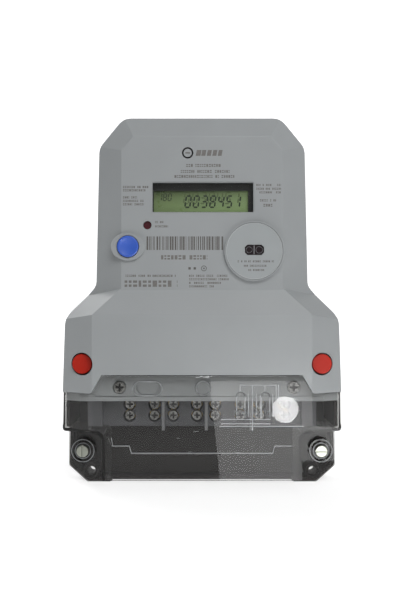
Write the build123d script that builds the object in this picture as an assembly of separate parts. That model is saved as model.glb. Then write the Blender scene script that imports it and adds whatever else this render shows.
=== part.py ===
from build123d import *
import os

# Static three-phase electricity meter with a clear terminal cover, in millimetres.
# X runs across the meter, +Z is up, the wall is the plane Y = 0 and the front faces -Y.
# The origin lies on the wall plane, midway between the two lower fixing holes.
# A "depth" is a distance out from the wall, so a point at depth d has Y = -d.
# A pair of numbers is a low and a high limit unless its comment says otherwise.

# ---- working values ----
SPARE = 1.0  # how far a cut runs past the surface that it opens
BIG = 1200.0  # larger than the whole meter
EDGE_RADIUS = 1.0
JOIN = 1.0  # how far one shape runs into another that it is added to
THREAD_GAP = 0.05  # all round a screw in its thread

# ---- case outline ----
WALL = 2.2
TOP_Z = 232.8
UPPER_HALF_WIDTH_TOP = 66.3
UPPER_HALF_WIDTH = 68.4
SHOULDER_TOP_Z = 124.6
SHOULDER_BOTTOM_Z = 104.6
LOWER_HALF_WIDTH = 87.2
FULL_HALF_WIDTH = 88.9
CORNER_X = 50.7
CORNER_Z = 213.6
FOOT_CORNER_X = 76.6
FOOT_CORNER_Z = 5.0
BASE_BOTTOM_Z = -6.0
TOP_CORNER_R = 11.0
SHOULDER_TOP_R = 8.0
SHOULDER_BOTTOM_R = 16.0
FOOT_CORNER_R = 3.0

# ---- rear base ----
BASE_DEPTH = 20.0
BASE_FLOOR = 3.0
LOWER_FLOOR = 5.0
CABLE_HALF_WIDTH = 60.5
CABLE_TOP_Z = 0.0
CABLE_LIP_DEPTH = 15.5
BLOCK_BAY_Z = (50.0, 62.0)
CHEEK_X = (84.2, 86.4)
CHEEK_Z = (34.6, 51.0)
CHEEK_DEPTH = 44.4
GASKET_THICKNESS = 0.6
GASKET_INSET = (0.4, 2.0)

# ---- front cover ----
COVER_START = BASE_DEPTH + GASKET_THICKNESS
COVER_SIDE_BOTTOM_Z = 57.0
UPPER_FACE_DEPTH = 48.0
UPPER_EDGE_DEPTH = 40.0
UPPER_FACE_HALF_WIDTH = 51.3
UPPER_FACE_TOP_Z = 219.5
UPPER_FACE_BOTTOM_Z = 121.9
FACE_CORNER_X = 43.8
FACE_CORNER_Z = 210.8
LOWER_FACE_DEPTH = 57.0
LOWER_EDGE_DEPTH = 46.0
LOWER_FACE_HALF_WIDTH = 68.8
LOWER_BEVEL_X = 88.4
LOWER_FACE_TOP_Z = 106.2
SLOPE_TOP_HALF_WIDTH = 52.5
SLOPE_SIDE_X = 83.0

# ---- shelf under the clear cover's top ----
SHELF_HALF_WIDTH = 69.4
SHELF_END_X = 86.4
SHELF_SKIN_INSET = 1.0
SHELF_CORNER_R = 3.0
SHELF_DEPTH = 50.0
SHELF_TOP_Z = 68.8
SHELF_BOTTOM_Z = 51.6
SHELF_MARK_DEPTH = 0.8
STADIUM_CENTRE = (-34.0, 60.2)  # X and Z
STADIUM_SIZE = (14.8, 9.6)  # length and height
RING_CENTRE = (0.6, 60.4)  # X and Z
RING_R = (4.5, 5.3)
MARK_LINE = 0.9
SHELF_GROOVE_Z = 54.6
SHELF_GROOVE_WIDTH = 0.6
SHELF_GROOVE_HALF_LENGTH = 67.4
SHELF_SIDE_GAP = 0.3
SHELF_SCREW_X = (-52.1, 57.9)
SHELF_SCREW_Z = 60.4
SHELF_SCREW_HEAD_R = 3.9
SHELF_SCREW_HEAD_TOP = 51.2
SHELF_SCREW_HEAD_EDGE_R = 0.8
SHELF_SCREW_SEAT = 49.0
SHELF_SCREW_SLOT_LENGTH = 5.2
SHELF_SCREW_SLOT_DEPTH = 1.6
SHELF_SCREW_SHANK_R = 1.6
SHELF_SCREW_TIP_DEPTH = 32.0
SHELF_SCREW_HEAD_GAP = 0.5
SHELF_SCREW_SHANK_GAP = 0.3
SHELF_SCREW_END_ROOM = 1.0

# ---- lower fixing holes and hanger ----
FIXING_SPACING = 150.0
FIXING_HOLE_R = 2.75
FIXING_POST_R = 5.4
FIXING_POST_DEPTH = 19.0
FIXING_RECESS_R = 4.4
FIXING_RECESS_FLOOR = 15.0
HANGER_HALF_WIDTH = 10.0
HANGER_Z = (188.0, 230.5)
HANGER_DEPTH = (1.0, 2.5)
HANGER_CORNER_R = 3.0
HANGER_HOLE_R = 3.2
HANGER_HOLE_Z = 222.0
HANGER_SIDE_GAP = 0.3
HANGER_FACE_GAP = 0.15
HANGER_MOUTH_HALF_WIDTH = 7.5
SCREW_ROOM_DEPTH = 8.5
SCREW_ROOM_BOTTOM_Z = 212.0
HOUSING_TOP_Z = TOP_Z - 1.0
HOUSING_START = 1.0
HOUSING_PAD = (16.0, 5.0, 184.0)  # half width, front depth and lower end
HOUSING_CROWN = (11.0, 10.5, 209.0)  # the same, where it is thicker round the screw head
HANGER_END_GAP = 0.5

# ---- display ----
WINDOW = (-31.5, 32.6, 171.4, 190.1)  # X limits, then Z limits
WINDOW_FLANGE = 2.0
WINDOW_GAP = 0.15
WINDOW_RECESS = 0.7
WINDOW_BACK = 44.2
WINDOW_STEP = (0.6, 0.4)  # width and depth of the step round the window
DISPLAY_DEPTH = (39.0, 41.2)
DISPLAY_GLASS_HALF_WIDTH = 33.5
DISPLAY_GLASS_Z = (168.5, 190.5)
DISPLAY_VIEW_X = (-31.0, 29.6)
DISPLAY_VIEW_Z = (171.6, 185.6)
FRAME_HALF_WIDTH = 36.0
FRAME_Z = (165.5, 193.5)
FRAME_WALL = 2.0
FRAME_FRONT = 42.7
FRAME_GAP = 0.2
CONTACT_HALF_WIDTH = 33.0
CONTACT_Z = ((168.7, 171.2), (187.8, 190.3))

# ---- pulse indicator ----
PULSE_X = -34.7
PULSE_Z = 163.1
PULSE_R = 2.7
PULSE_GAP = 0.15
PULSE_LENS_DEPTH = (43.5, 46.2)
PULSE_FLANGE = (1.0, 1.7)  # width and thickness
LAMP_R = 1.5
LAMP_NOSE_R = 1.2
LAMP_TIP_DEPTH = 42.5
LAMP_RIM = (1.9, 1.0)  # radius and thickness

# ---- scroll button and its switch ----
BUTTON_X = -47.0
BUTTON_Z = 149.4
BUTTON_R = 6.8
BUTTON_GAP = 0.35
BUTTON_FACE_DEPTH = 50.6
BUTTON_EDGE_R = 0.5
BUTTON_DISH_R = 22.0
BUTTON_DISH_DEPTH = 0.75
BUTTON_BOSS_SIZE = (10.8, 8.9)  # half width and half height
BUTTON_BOSS_BACK = 38.0
BUTTON_BOSS_DEPTH = 49.4
BUTTON_FLANGE_WIDTH = 1.5
BUTTON_FLANGE_DEPTH = (36.0, 37.4)
BUTTON_STEM_R = 2.2
BUTTON_STEM_BACK = 35.2
SWITCH_HALF_SIZE = 3.0
SWITCH_HEIGHT = 3.6
SWITCH_FLOOR = 0.6
SWITCH_PLUNGER_R = 1.5
SWITCH_PLUNGER_GAP = 0.3
SWITCH_PLUNGER_LENGTH = 2.6

# ---- optical port ----
PORT_X = 33.2
PORT_Z = 146.6
PORT_PLATE_R = 18.2
PORT_PLATE_EDGE_R = 0.3
PORT_PLATE_GAP = 0.05
PORT_RIM_R = 19.0
PORT_SEAT = 47.0
PORT_FACE_DEPTH = 49.6
PORT_RIM_DEPTH = 50.0
PORT_WINDOW_SIZE = (12.0, 6.4)  # width and height
PORT_WINDOW_CHAMFER = 1.6
PORT_WINDOW_GAP = (0.1, 0.2)  # in the plate and in the cover behind it
PORT_WINDOW_Z = 147.3
PORT_WINDOW_DEPTH = (44.8, 49.1)
PORT_LAMP_OFFSET = 3.3

# ---- circuit board and what stands on it ----
BOARD_BACK = 28.0
BOARD_FRONT = 29.6
BOARD_HALF_WIDTH = 54.0
BOARD_Z = (127.0, 213.0)
BOARD_POST_X = 49.0
BOARD_POST_Z = (136.0, 198.0)
BOARD_POST_R = 3.6
BOARD_SCREW_R = 1.2
BOARD_SCREW_HEAD_R = 2.8
BOARD_SCREW_HEAD_HEIGHT = 1.8
BOARD_SCREW_SLOT_LENGTH = 3.2
BOARD_SCREW_SLOT_FLOOR = 0.8  # above the board
BOARD_SCREW_LENGTH = 8.0
BOARD_SCREW_GAP = (0.1, 0.2)  # in the post and in the board
BOARD_SCREW_END_ROOM = 2.0
CHIP_HEIGHT = 1.5
METERING_CHIP = (12.0, 152.0, 10.0, 10.0)  # X, Z, width and height
PROCESSOR_CHIP = (2.0, 137.0, 12.0, 12.0)
MEMORY_CHIP = (-22.0, 137.0, 5.0, 6.0)
CRYSTAL_CENTRE = (-12.0, 150.0)  # X and Z
CRYSTAL_SIZE = (11.0, 4.4)
CRYSTAL_HEIGHT = 3.4
BATTERY_R = 7.2
BATTERY_LENGTH = 25.0
BATTERY_Z = 203.0
BULK_CAPACITOR_PLACE = (38.0, 176.0)  # X and Z
BULK_CAPACITOR_R = 6.3
BULK_CAPACITOR_LENGTH = 18.0
BULK_CAPACITOR_EDGE_R = 1.0
SUPPLY_CAPACITOR_HALF_WIDTH = 9.0
SUPPLY_CAPACITOR_LENGTH = 17.0
SUPPLY_CAPACITOR_Z = (140.5, 153.5)
VARISTOR_R = 7.0
VARISTOR_THICKNESS = 4.5
VARISTOR_Z = 158.0

# ---- case screws and the red seal plugs over them ----
SEAL_X = 75.5
SEAL_Z = 75.3
SEAL_R = 6.3
SEAL_EDGE_R = 0.6
SEAL_FACE_DEPTH = 52.4
SEAL_BACK_DEPTH = 47.4
SEAL_RECESS_R = 7.2
SEAL_WELL_WALL = 2.0
SEAL_WELL_DEPTH = (41.0, 50.0)
SEAL_WELL_INSET = 0.5
CASE_SCREW_SEAT = 44.0
CASE_SCREW_TIP = 8.0
CASE_SCREW_END_ROOM = 1.0
CASE_SCREW_HOLE_GAP = 0.4
CASE_SCREW_R = 2.0
CASE_SCREW_HEAD_R = 4.6
CASE_SCREW_HEAD_HEIGHT = 3.0
CASE_SCREW_SLOT_LENGTH = 5.0
CASE_SCREW_SLOT_DEPTH = 1.6
CASE_COLUMN_R = 4.6

# ---- terminal block ----
TERMINAL_X = (-46.6, -30.6, -18.5, -3.2, 8.6, 24.9, 37.0, 53.0)
TERMINAL_DEPTH = 20.0
TERMINAL_BORE_R = 4.2
TERMINAL_ENTRY_R = 5.0
TERMINAL_ROWS_Z = (41.0, 48.2)
CLAMP_Z = (36.0, 51.3)
CLAMP_WIDTH = 9.0
CLAMP_DEPTH = (12.0, 28.0)
CLAMP_GAP = 0.05
TERMINAL_SCREW_R = 2.3
TERMINAL_SCREW_TIP_GAP = 0.1  # between the backed-off screw and the bore
TERMINAL_SCREW_HEAD_R = 2.9
TERMINAL_SCREW_NECK = 35.0
TERMINAL_SCREW_TOP = 39.5
TERMINAL_SCREW_WELL_R = 4.0
TERMINAL_SLOT_LENGTH = 4.2
TERMINAL_SLOT_DEPTH = 1.4
BLOCK_HALF_WIDTH = 72.5
BLOCK_FOOT_HALF_WIDTH = 60.0
BLOCK_DEPTH = (5.0, 42.0)
BLOCK_Z = (33.5, 51.3)
BLOCK_STEP_Z = 35.0
BLOCK_STEP_DEPTH = 36.0
BLOCK_EAR_WIDTH = 9.0
BLOCK_EAR_HEIGHT = 4.0
TONGUE_HALF_WIDTH = 66.0
TONGUE_GAP = 0.3
TONGUE_TOP_GAP = 0.5
TONGUE_TOP_Z = 62.5
RIB_X = (-24.6, 2.7, 31.0)
RIB_HALF_THICKNESS = 0.95
RIB_BOTTOM_Z = 32.8
RIB_DEPTH = 49.0

# ---- current bars, transformers and voltage pins ----
BAR_WIDTH = 5.0
BAR_THICKNESS = 4.0
BAR_TOP_Z = 93.0
BAR_GAP = 0.1
TRANSFORMER_X = tuple((TERMINAL_X[i] + TERMINAL_X[i + 1]) / 2 for i in (0, 2, 4))
TRANSFORMER_Z = 90.5
TRANSFORMER_R = (6.0, 12.0)
TRANSFORMER_WIDTH = 8.6
TRANSFORMER_EDGE_R = 1.2
TRANSFORMER_REST_HALF_WIDTH = 4.0
TRANSFORMER_REST_Z = (84.0, 97.0)
PIN_R = 0.8
PIN_TOP_Z = 131.0
PIN_ARM_Z = 129.4

# ---- clear terminal cover ----
COVER_WALL = 1.8
COVER_HALF_WIDTH = 62.3
COVER_TOP_Z = 68.5
COVER_BOTTOM_Z = 2.8
WING_TOP_Z = 56.7
NICHE_TOP_Z = 32.2
NICHE_CORNER_R = 5.0
WING_CORNER_R = 2.0
OPEN_FOOT_HEIGHT = 40.0  # of the cut that opens the cover below
FLANGE_DEPTH = (20.3, 22.3)
SHELF_GAP = 0.4
BREAKOUT_POINTS = ((0.0, 19.9), (44.0, 19.9), (45.2, 24.6), (56.0, 24.6), (58.5, 30.0))  # X and Z
BREAKOUT_HALF_WIDTH = 0.35
BREAKOUT_DEPTH = 0.5

# ---- sealing screws ----
SEALING_SCREW_X = 79.0
SEALING_SCREW_Z = 15.5
SEALING_SCREW_R = 2.0
SEALING_SCREW_TIP = 7.0
SEALING_SCREW_END_ROOM = 2.0
SEALING_SCREW_GAP = 0.3
SEALING_HEAD_R = 4.0
SEALING_HEAD_GAP = 0.4
SEALING_HEAD_TOP = 29.5
SEALING_HEAD_EDGE_R = 0.5
SEALING_SEAT = 24.5
SEALING_SLOT_HALF = (0.55, 5.0)  # half width and half length
SEALING_SLOT_DEPTH = 1.4
SEALING_WIRE_R = 0.8
SEALING_WIRE_DEPTH = 26.5
SEALING_BOSS_R = 8.0
SEALING_BOSS_DEPTH = 27.0
SEALING_GROOVE_R = (5.8, 6.8)
SEALING_GROOVE_DEPTH = 25.0
SEALING_POST_R = 5.2
POST_FOOT = 0.5


def block(x_low, x_high, depth_low, depth_high, z_low, z_high):
    """A box between two X values, two depths and two heights."""
    size = (x_high - x_low, depth_high - depth_low, z_high - z_low)
    return Pos(x_low, -depth_high, z_low) * Box(*size, align=(Align.MIN, Align.MIN, Align.MIN))


def rod(x, z, radius, depth_low, depth_high):
    """A cylinder along Y between two depths."""
    face = Plane.XZ.offset(depth_low) * Pos(x, z) * Circle(radius)
    return extrude(face, depth_high - depth_low)


def upright(x, depth, radius, z_low, z_high):
    """A cylinder along Z between two heights."""
    align = (Align.CENTER, Align.CENTER, Align.MIN)
    return Pos(x, -depth, z_low) * Cylinder(radius, z_high - z_low, align=align)


def slab(face, depth_low, depth_high):
    """A face drawn in X and Z, extruded between two depths."""
    return extrude(Plane.XZ.offset(depth_low) * face, depth_high - depth_low)


def sides(x):
    """A position on the right and its mirror image on the left."""
    return (x, -x)


def mirrored_outline(half_points):
    """A closed symmetric face from its right half: (x, z, corner radius), listed from top to bottom."""
    left = [(-x, z, radius) for x, z, radius in reversed(half_points)]
    corners = half_points + left
    face = make_face(Polyline(*[(x, z) for x, z, _ in corners], close=True))
    for x, z, radius in corners:
        if radius > 0:
            face = fillet(face.vertices().sort_by_distance((x, z, 0.0))[0], radius)
    return face


def inner_face(outline, amount):
    """The outline moved in by an amount, with sharp corners kept sharp."""
    return offset(outline, -amount, kind=Kind.INTERSECTION)


def slice_off(solid, first, second, third, inset):
    """Remove what lies in front of the plane through three (x, depth, z) points, moved in by inset."""
    points = [Vector(x, -depth, z) for x, depth, z in (first, second, third)]
    normal = (points[1] - points[0]).cross(points[2] - points[0]).normalized()
    if normal.Y > 0:
        normal = normal * -1
    plane = Plane(origin=points[0] - normal * inset, z_dir=normal)
    waste = plane * Box(BIG, BIG, BIG / 2, align=(Align.CENTER, Align.CENTER, Align.MIN))
    return solid - waste


def slice_sides(solid, first, second, third, inset):
    """The same cut on the right and, mirrored, on the left."""
    solid = slice_off(solid, first, second, third, inset)
    flipped = [(-x, depth, z) for x, depth, z in (first, second, third)]
    return slice_off(solid, *flipped, inset)


def soften_face(solid, radius, lowest_z):
    """Round the edges of the solid's foremost flat face whose middle is above a height."""
    front_face = solid.faces().filter_by(Axis.Y).sort_by(Axis.Y)[0]
    return fillet([edge for edge in front_face.edges() if edge.center().Z > lowest_z], radius)


def round_front(solid, radius):
    """Round the foremost circular edge."""
    return fillet(solid.edges().filter_by(GeomType.CIRCLE).sort_by(Axis.Y)[0], radius)


def cross_slot(x, z, length, depth_low, depth_high):
    """The cross-shaped driver recess of a screw."""
    reach = length / 2
    half_width = 0.14 * length
    flat = block(x - reach, x + reach, depth_low, depth_high, z - half_width, z + half_width)
    return flat + block(x - half_width, x + half_width, depth_low, depth_high, z - reach, z + reach)


# ---- outlines shared by the case parts ----
def case_top_points():
    return [
        (CORNER_X, TOP_Z, TOP_CORNER_R),
        (UPPER_HALF_WIDTH_TOP, CORNER_Z, TOP_CORNER_R),
        (UPPER_HALF_WIDTH, SHOULDER_TOP_Z, SHOULDER_TOP_R),
        (LOWER_HALF_WIDTH, SHOULDER_BOTTOM_Z, SHOULDER_BOTTOM_R),
    ]


def front_cover_outline():
    return mirrored_outline(case_top_points() + [
        (FULL_HALF_WIDTH, COVER_SIDE_BOTTOM_Z, 0.0),
        (SHELF_END_X, COVER_SIDE_BOTTOM_Z, 0.0),
        (SHELF_END_X, SHELF_BOTTOM_Z, 0.0),
    ])


def base_outline():
    return mirrored_outline(case_top_points() + [
        (FULL_HALF_WIDTH, FOOT_CORNER_Z, FOOT_CORNER_R),
        (FOOT_CORNER_X, BASE_BOTTOM_Z, FOOT_CORNER_R),
    ])


# ---- grey front cover ----
def upper_volume(outline, inset):
    """The narrow upper half, with its bevels."""
    upper = slab(outline, COVER_START, UPPER_FACE_DEPTH - inset)
    upper = slice_sides(
        upper,
        (UPPER_FACE_HALF_WIDTH, UPPER_FACE_DEPTH, 0.0),
        (UPPER_FACE_HALF_WIDTH, UPPER_FACE_DEPTH, TOP_Z),
        (UPPER_HALF_WIDTH_TOP, UPPER_EDGE_DEPTH, 0.0),
        inset,
    )
    upper = slice_off(
        upper,
        (0.0, UPPER_FACE_DEPTH, UPPER_FACE_TOP_Z),
        (FACE_CORNER_X, UPPER_FACE_DEPTH, UPPER_FACE_TOP_Z),
        (0.0, UPPER_EDGE_DEPTH, TOP_Z),
        inset,
    )
    return slice_sides(
        upper,
        (FACE_CORNER_X, UPPER_FACE_DEPTH, UPPER_FACE_TOP_Z),
        (UPPER_FACE_HALF_WIDTH, UPPER_FACE_DEPTH, FACE_CORNER_Z),
        ((CORNER_X + UPPER_HALF_WIDTH_TOP) / 2, UPPER_EDGE_DEPTH, (TOP_Z + CORNER_Z) / 2),
        inset,
    )


def behind_bevels(solid, inset):
    """What lies behind the bevels of the lower half, with those bevels moved in."""
    return slice_sides(
        solid,
        (LOWER_FACE_HALF_WIDTH, LOWER_FACE_DEPTH, 0.0),
        (LOWER_FACE_HALF_WIDTH, LOWER_FACE_DEPTH, TOP_Z),
        (LOWER_BEVEL_X, LOWER_EDGE_DEPTH, 0.0),
        inset,
    )


def lower_volume(outline, inset):
    """The wide lower half, with its bevels, its shoulders and the slope up to the upper face."""
    lower = behind_bevels(slab(outline, COVER_START, LOWER_FACE_DEPTH - inset), inset)
    lower = slice_off(
        lower,
        (0.0, LOWER_FACE_DEPTH, LOWER_FACE_TOP_Z),
        (LOWER_FACE_HALF_WIDTH, LOWER_FACE_DEPTH, LOWER_FACE_TOP_Z),
        (0.0, UPPER_FACE_DEPTH, UPPER_FACE_BOTTOM_Z),
        inset,
    )
    return slice_sides(
        lower,
        (SLOPE_TOP_HALF_WIDTH, UPPER_FACE_DEPTH, UPPER_FACE_BOTTOM_Z),
        (LOWER_FACE_HALF_WIDTH, LOWER_FACE_DEPTH, LOWER_FACE_TOP_Z),
        (SLOPE_SIDE_X, LOWER_EDGE_DEPTH, LOWER_FACE_TOP_Z),
        inset,
    )


def front_volume():
    """Everything inside the front cover's outer faces."""
    outline = front_cover_outline()
    upper = soften_face(upper_volume(outline, 0.0), EDGE_RADIUS, COVER_SIDE_BOTTOM_Z)
    return upper + soften_face(lower_volume(outline, 0.0), EDGE_RADIUS, COVER_SIDE_BOTTOM_Z + 1.0)


def inner_front_volume(inset):
    """The same volume with its faces moved in."""
    outline = inner_face(front_cover_outline(), inset)
    return upper_volume(outline, inset) + lower_volume(outline, inset)


def window_shape(margin):
    """The display window's rectangle in X and Z, grown by a margin."""
    x_low, x_high, z_low, z_high = WINDOW
    corner_radius = 0.6 + margin
    rectangle = RectangleRounded(x_high - x_low + 2 * margin, z_high - z_low + 2 * margin, corner_radius)
    return Pos((x_low + x_high) / 2, (z_low + z_high) / 2) * rectangle


def port_window_shape(margin):
    """The optical window's shape: a rectangle with cut corners, grown by a margin."""
    width, height = PORT_WINDOW_SIZE
    rectangle = Rectangle(width + 2 * margin, height + 2 * margin)
    return Pos(PORT_X, PORT_WINDOW_Z) * chamfer(rectangle.vertices(), PORT_WINDOW_CHAMFER)


def shelf_recess():
    """The step in the cover's lower edge that the clear cover's top tucks into, in X and Z."""
    spread = 5.0
    return mirrored_outline([
        (COVER_HALF_WIDTH + SHELF_SIDE_GAP, SHELF_TOP_Z, 0.0),
        (SHELF_HALF_WIDTH, COVER_SIDE_BOTTOM_Z, SHELF_CORNER_R),
        (SHELF_HALF_WIDTH + spread, COVER_SIDE_BOTTOM_Z, 0.0),
        (SHELF_HALF_WIDTH + spread, SHELF_BOTTOM_Z - spread, 0.0),
    ])


def shelf_body(top_z, front_depth, inset):
    """The full width of the shelf up to a height, its ends cut back along the lower bevels."""
    body = block(-SHELF_END_X, SHELF_END_X, COVER_START, front_depth, SHELF_BOTTOM_Z, top_z)
    return behind_bevels(body, inset)


def shelf_skin():
    """The shelf's front wall, carried up inside the case so that the two join."""
    top_z = COVER_SIDE_BOTTOM_Z + WALL
    skin = shelf_body(top_z, SHELF_DEPTH, SHELF_SKIN_INSET)
    return skin - shelf_body(top_z, SHELF_DEPTH - WALL, COVER_WALL + SHELF_GAP + WALL)


def wing_space():
    """The space in front of the shelf that the clear cover's top and wings fill."""
    space = block(-BIG / 2, BIG / 2, COVER_START - SPARE, BIG, SHELF_BOTTOM_Z - SPARE, COVER_SIDE_BOTTOM_Z)
    return space - shelf_body(COVER_SIDE_BOTTOM_Z + SPARE, SHELF_DEPTH, COVER_WALL + SHELF_GAP)


def shelf_marks():
    """The shallow moulded outlines on the shelf: a stadium on the left and a ring in the middle."""
    length, height = STADIUM_SIZE
    inner_stadium = SlotOverall(length - 2 * MARK_LINE, height - 2 * MARK_LINE)
    stadium = Pos(*STADIUM_CENTRE) * (SlotOverall(length, height) - inner_stadium)
    ring = Pos(*RING_CENTRE) * (Circle(RING_R[1]) - Circle(RING_R[0]))
    groove = Pos(0.0, SHELF_GROOVE_Z) * Rectangle(2 * SHELF_GROOVE_HALF_LENGTH, SHELF_GROOVE_WIDTH)
    return slab(stadium + ring + groove, SHELF_DEPTH - SHELF_MARK_DEPTH, SHELF_DEPTH + SPARE)


def make_front_cover():
    cover = front_volume()
    button_boss = Pos(BUTTON_X, BUTTON_Z) * Ellipse(*BUTTON_BOSS_SIZE)
    cover += slab(button_boss, BUTTON_BOSS_BACK, BUTTON_BOSS_DEPTH)
    cover += rod(PORT_X, PORT_Z, PORT_RIM_R, UPPER_EDGE_DEPTH, PORT_RIM_DEPTH)
    cover -= inner_front_volume(WALL)
    cover += slab(button_boss, BUTTON_BOSS_BACK, UPPER_FACE_DEPTH - WALL)
    for x in sides(SEAL_X):
        well = rod(x, SEAL_Z, SEAL_RECESS_R + SEAL_WELL_WALL, *SEAL_WELL_DEPTH)
        cover += well & inner_front_volume(SEAL_WELL_INSET)
        cover += rod(x, SEAL_Z, CASE_COLUMN_R, COVER_START, CASE_SCREW_SEAT)
    cover += block(-SHELF_HALF_WIDTH, SHELF_HALF_WIDTH, SHELF_DEPTH - WALL, LOWER_FACE_DEPTH - JOIN,
                   SHELF_BOTTOM_Z, SHELF_TOP_Z + WALL)
    cover -= slab(shelf_recess(), SHELF_DEPTH, LOWER_FACE_DEPTH + SPARE)
    cover += shelf_skin()
    cover -= wing_space()
    return cover - cover_openings()


def cover_openings():
    """Everything cut out of the front cover for the parts set into it."""
    tongue_x = TONGUE_HALF_WIDTH + TONGUE_GAP
    cuts = [
        block(-tongue_x, tongue_x, COVER_START - SPARE, BLOCK_DEPTH[1] + TONGUE_GAP,
              SHELF_BOTTOM_Z - SPARE, TONGUE_TOP_Z + TONGUE_TOP_GAP),
        slab(window_shape(0.0), UPPER_EDGE_DEPTH, UPPER_FACE_DEPTH + SPARE),
        slab(window_shape(WINDOW_STEP[0]), UPPER_FACE_DEPTH - WINDOW_STEP[1], UPPER_FACE_DEPTH + SPARE),
        rod(PORT_X, PORT_Z, PORT_PLATE_R + PORT_PLATE_GAP, PORT_SEAT, PORT_RIM_DEPTH + SPARE),
        slab(port_window_shape(PORT_WINDOW_GAP[1]), UPPER_EDGE_DEPTH, PORT_RIM_DEPTH),
        rod(PULSE_X, PULSE_Z, PULSE_R, UPPER_EDGE_DEPTH, UPPER_FACE_DEPTH + SPARE),
        rod(BUTTON_X, BUTTON_Z, BUTTON_R + BUTTON_GAP, BUTTON_BOSS_BACK - SPARE, BUTTON_BOSS_DEPTH + SPARE),
        shelf_marks(),
    ]
    for x in sides(SEAL_X):
        cuts.append(rod(x, SEAL_Z, SEAL_RECESS_R, CASE_SCREW_SEAT, LOWER_FACE_DEPTH))
        cuts.append(rod(x, SEAL_Z, CASE_SCREW_R + CASE_SCREW_HOLE_GAP, COVER_START - SPARE, CASE_SCREW_SEAT))
    head_room_r = SHELF_SCREW_HEAD_R + SHELF_SCREW_HEAD_GAP
    shank_room_r = SHELF_SCREW_SHANK_R + SHELF_SCREW_SHANK_GAP
    for x in SHELF_SCREW_X:
        cuts.append(rod(x, SHELF_SCREW_Z, head_room_r, SHELF_SCREW_SEAT, SHELF_DEPTH + SPARE))
        cuts.append(rod(x, SHELF_SCREW_Z, shank_room_r, BLOCK_DEPTH[1], SHELF_DEPTH))
    return cuts


# ---- parts set into the front cover ----
def make_display_window():
    flange = slab(window_shape(WINDOW_FLANGE), WINDOW_BACK, UPPER_FACE_DEPTH - WALL)
    pane = slab(window_shape(-WINDOW_GAP), UPPER_FACE_DEPTH - WALL, UPPER_FACE_DEPTH - WINDOW_RECESS)
    return flange + pane


def make_port_plate():
    plate = rod(PORT_X, PORT_Z, PORT_PLATE_R, PORT_SEAT, PORT_FACE_DEPTH)
    plate = round_front(plate, PORT_PLATE_EDGE_R)
    return plate - slab(port_window_shape(PORT_WINDOW_GAP[0]), PORT_SEAT - SPARE, PORT_FACE_DEPTH + SPARE)


def make_port_window():
    return slab(port_window_shape(0.0), *PORT_WINDOW_DEPTH)


def make_pulse_lens():
    back, front = PULSE_LENS_DEPTH
    flange_width, flange_thickness = PULSE_FLANGE
    stem = rod(PULSE_X, PULSE_Z, PULSE_R - PULSE_GAP, back, front)
    return stem + rod(PULSE_X, PULSE_Z, PULSE_R + flange_width, back, back + flange_thickness)


def make_scroll_button():
    head = rod(BUTTON_X, BUTTON_Z, BUTTON_R, BUTTON_FLANGE_DEPTH[0], BUTTON_FACE_DEPTH)
    head = round_front(head, BUTTON_EDGE_R)
    dish_centre_depth = BUTTON_FACE_DEPTH - BUTTON_DISH_DEPTH + BUTTON_DISH_R
    head -= Pos(BUTTON_X, -dish_centre_depth, BUTTON_Z) * Sphere(BUTTON_DISH_R)
    head += rod(BUTTON_X, BUTTON_Z, BUTTON_R + BUTTON_FLANGE_WIDTH, *BUTTON_FLANGE_DEPTH)
    return head + rod(BUTTON_X, BUTTON_Z, BUTTON_STEM_R, BUTTON_STEM_BACK, BUTTON_FLANGE_DEPTH[1])


def make_switch_plunger():
    plunger_back = BUTTON_STEM_BACK - SWITCH_PLUNGER_LENGTH
    return rod(BUTTON_X, BUTTON_Z, SWITCH_PLUNGER_R, plunger_back, BUTTON_STEM_BACK)


def make_switch_body():
    half = SWITCH_HALF_SIZE
    top = BOARD_FRONT + SWITCH_HEIGHT
    body = block(BUTTON_X - half, BUTTON_X + half, BOARD_FRONT, top, BUTTON_Z - half, BUTTON_Z + half)
    well_r = SWITCH_PLUNGER_R + SWITCH_PLUNGER_GAP
    return body - rod(BUTTON_X, BUTTON_Z, well_r, BOARD_FRONT + SWITCH_FLOOR, top + SPARE)


def make_seal_plug(x):
    return round_front(rod(x, SEAL_Z, SEAL_R, SEAL_BACK_DEPTH, SEAL_FACE_DEPTH), SEAL_EDGE_R)


def make_case_screws():
    screws = []
    head_top = CASE_SCREW_SEAT + CASE_SCREW_HEAD_HEIGHT
    slot_floor = head_top - CASE_SCREW_SLOT_DEPTH
    for x in sides(SEAL_X):
        head = rod(x, SEAL_Z, CASE_SCREW_HEAD_R, CASE_SCREW_SEAT, head_top)
        head -= cross_slot(x, SEAL_Z, CASE_SCREW_SLOT_LENGTH, slot_floor, head_top + SPARE)
        screws.append(head + rod(x, SEAL_Z, CASE_SCREW_R, CASE_SCREW_TIP, CASE_SCREW_SEAT))
    return Compound(screws)


def make_shelf_screws():
    screws = []
    slot_floor = SHELF_SCREW_HEAD_TOP - SHELF_SCREW_SLOT_DEPTH
    slot_top = SHELF_SCREW_HEAD_TOP + SPARE
    for x in SHELF_SCREW_X:
        head = rod(x, SHELF_SCREW_Z, SHELF_SCREW_HEAD_R, SHELF_SCREW_SEAT, SHELF_SCREW_HEAD_TOP)
        head = round_front(head, SHELF_SCREW_HEAD_EDGE_R)
        head -= cross_slot(x, SHELF_SCREW_Z, SHELF_SCREW_SLOT_LENGTH, slot_floor, slot_top)
        shank = rod(x, SHELF_SCREW_Z, SHELF_SCREW_SHANK_R, SHELF_SCREW_TIP_DEPTH, SHELF_SCREW_SEAT)
        screws.append(head + shank)
    return Compound(screws)


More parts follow.
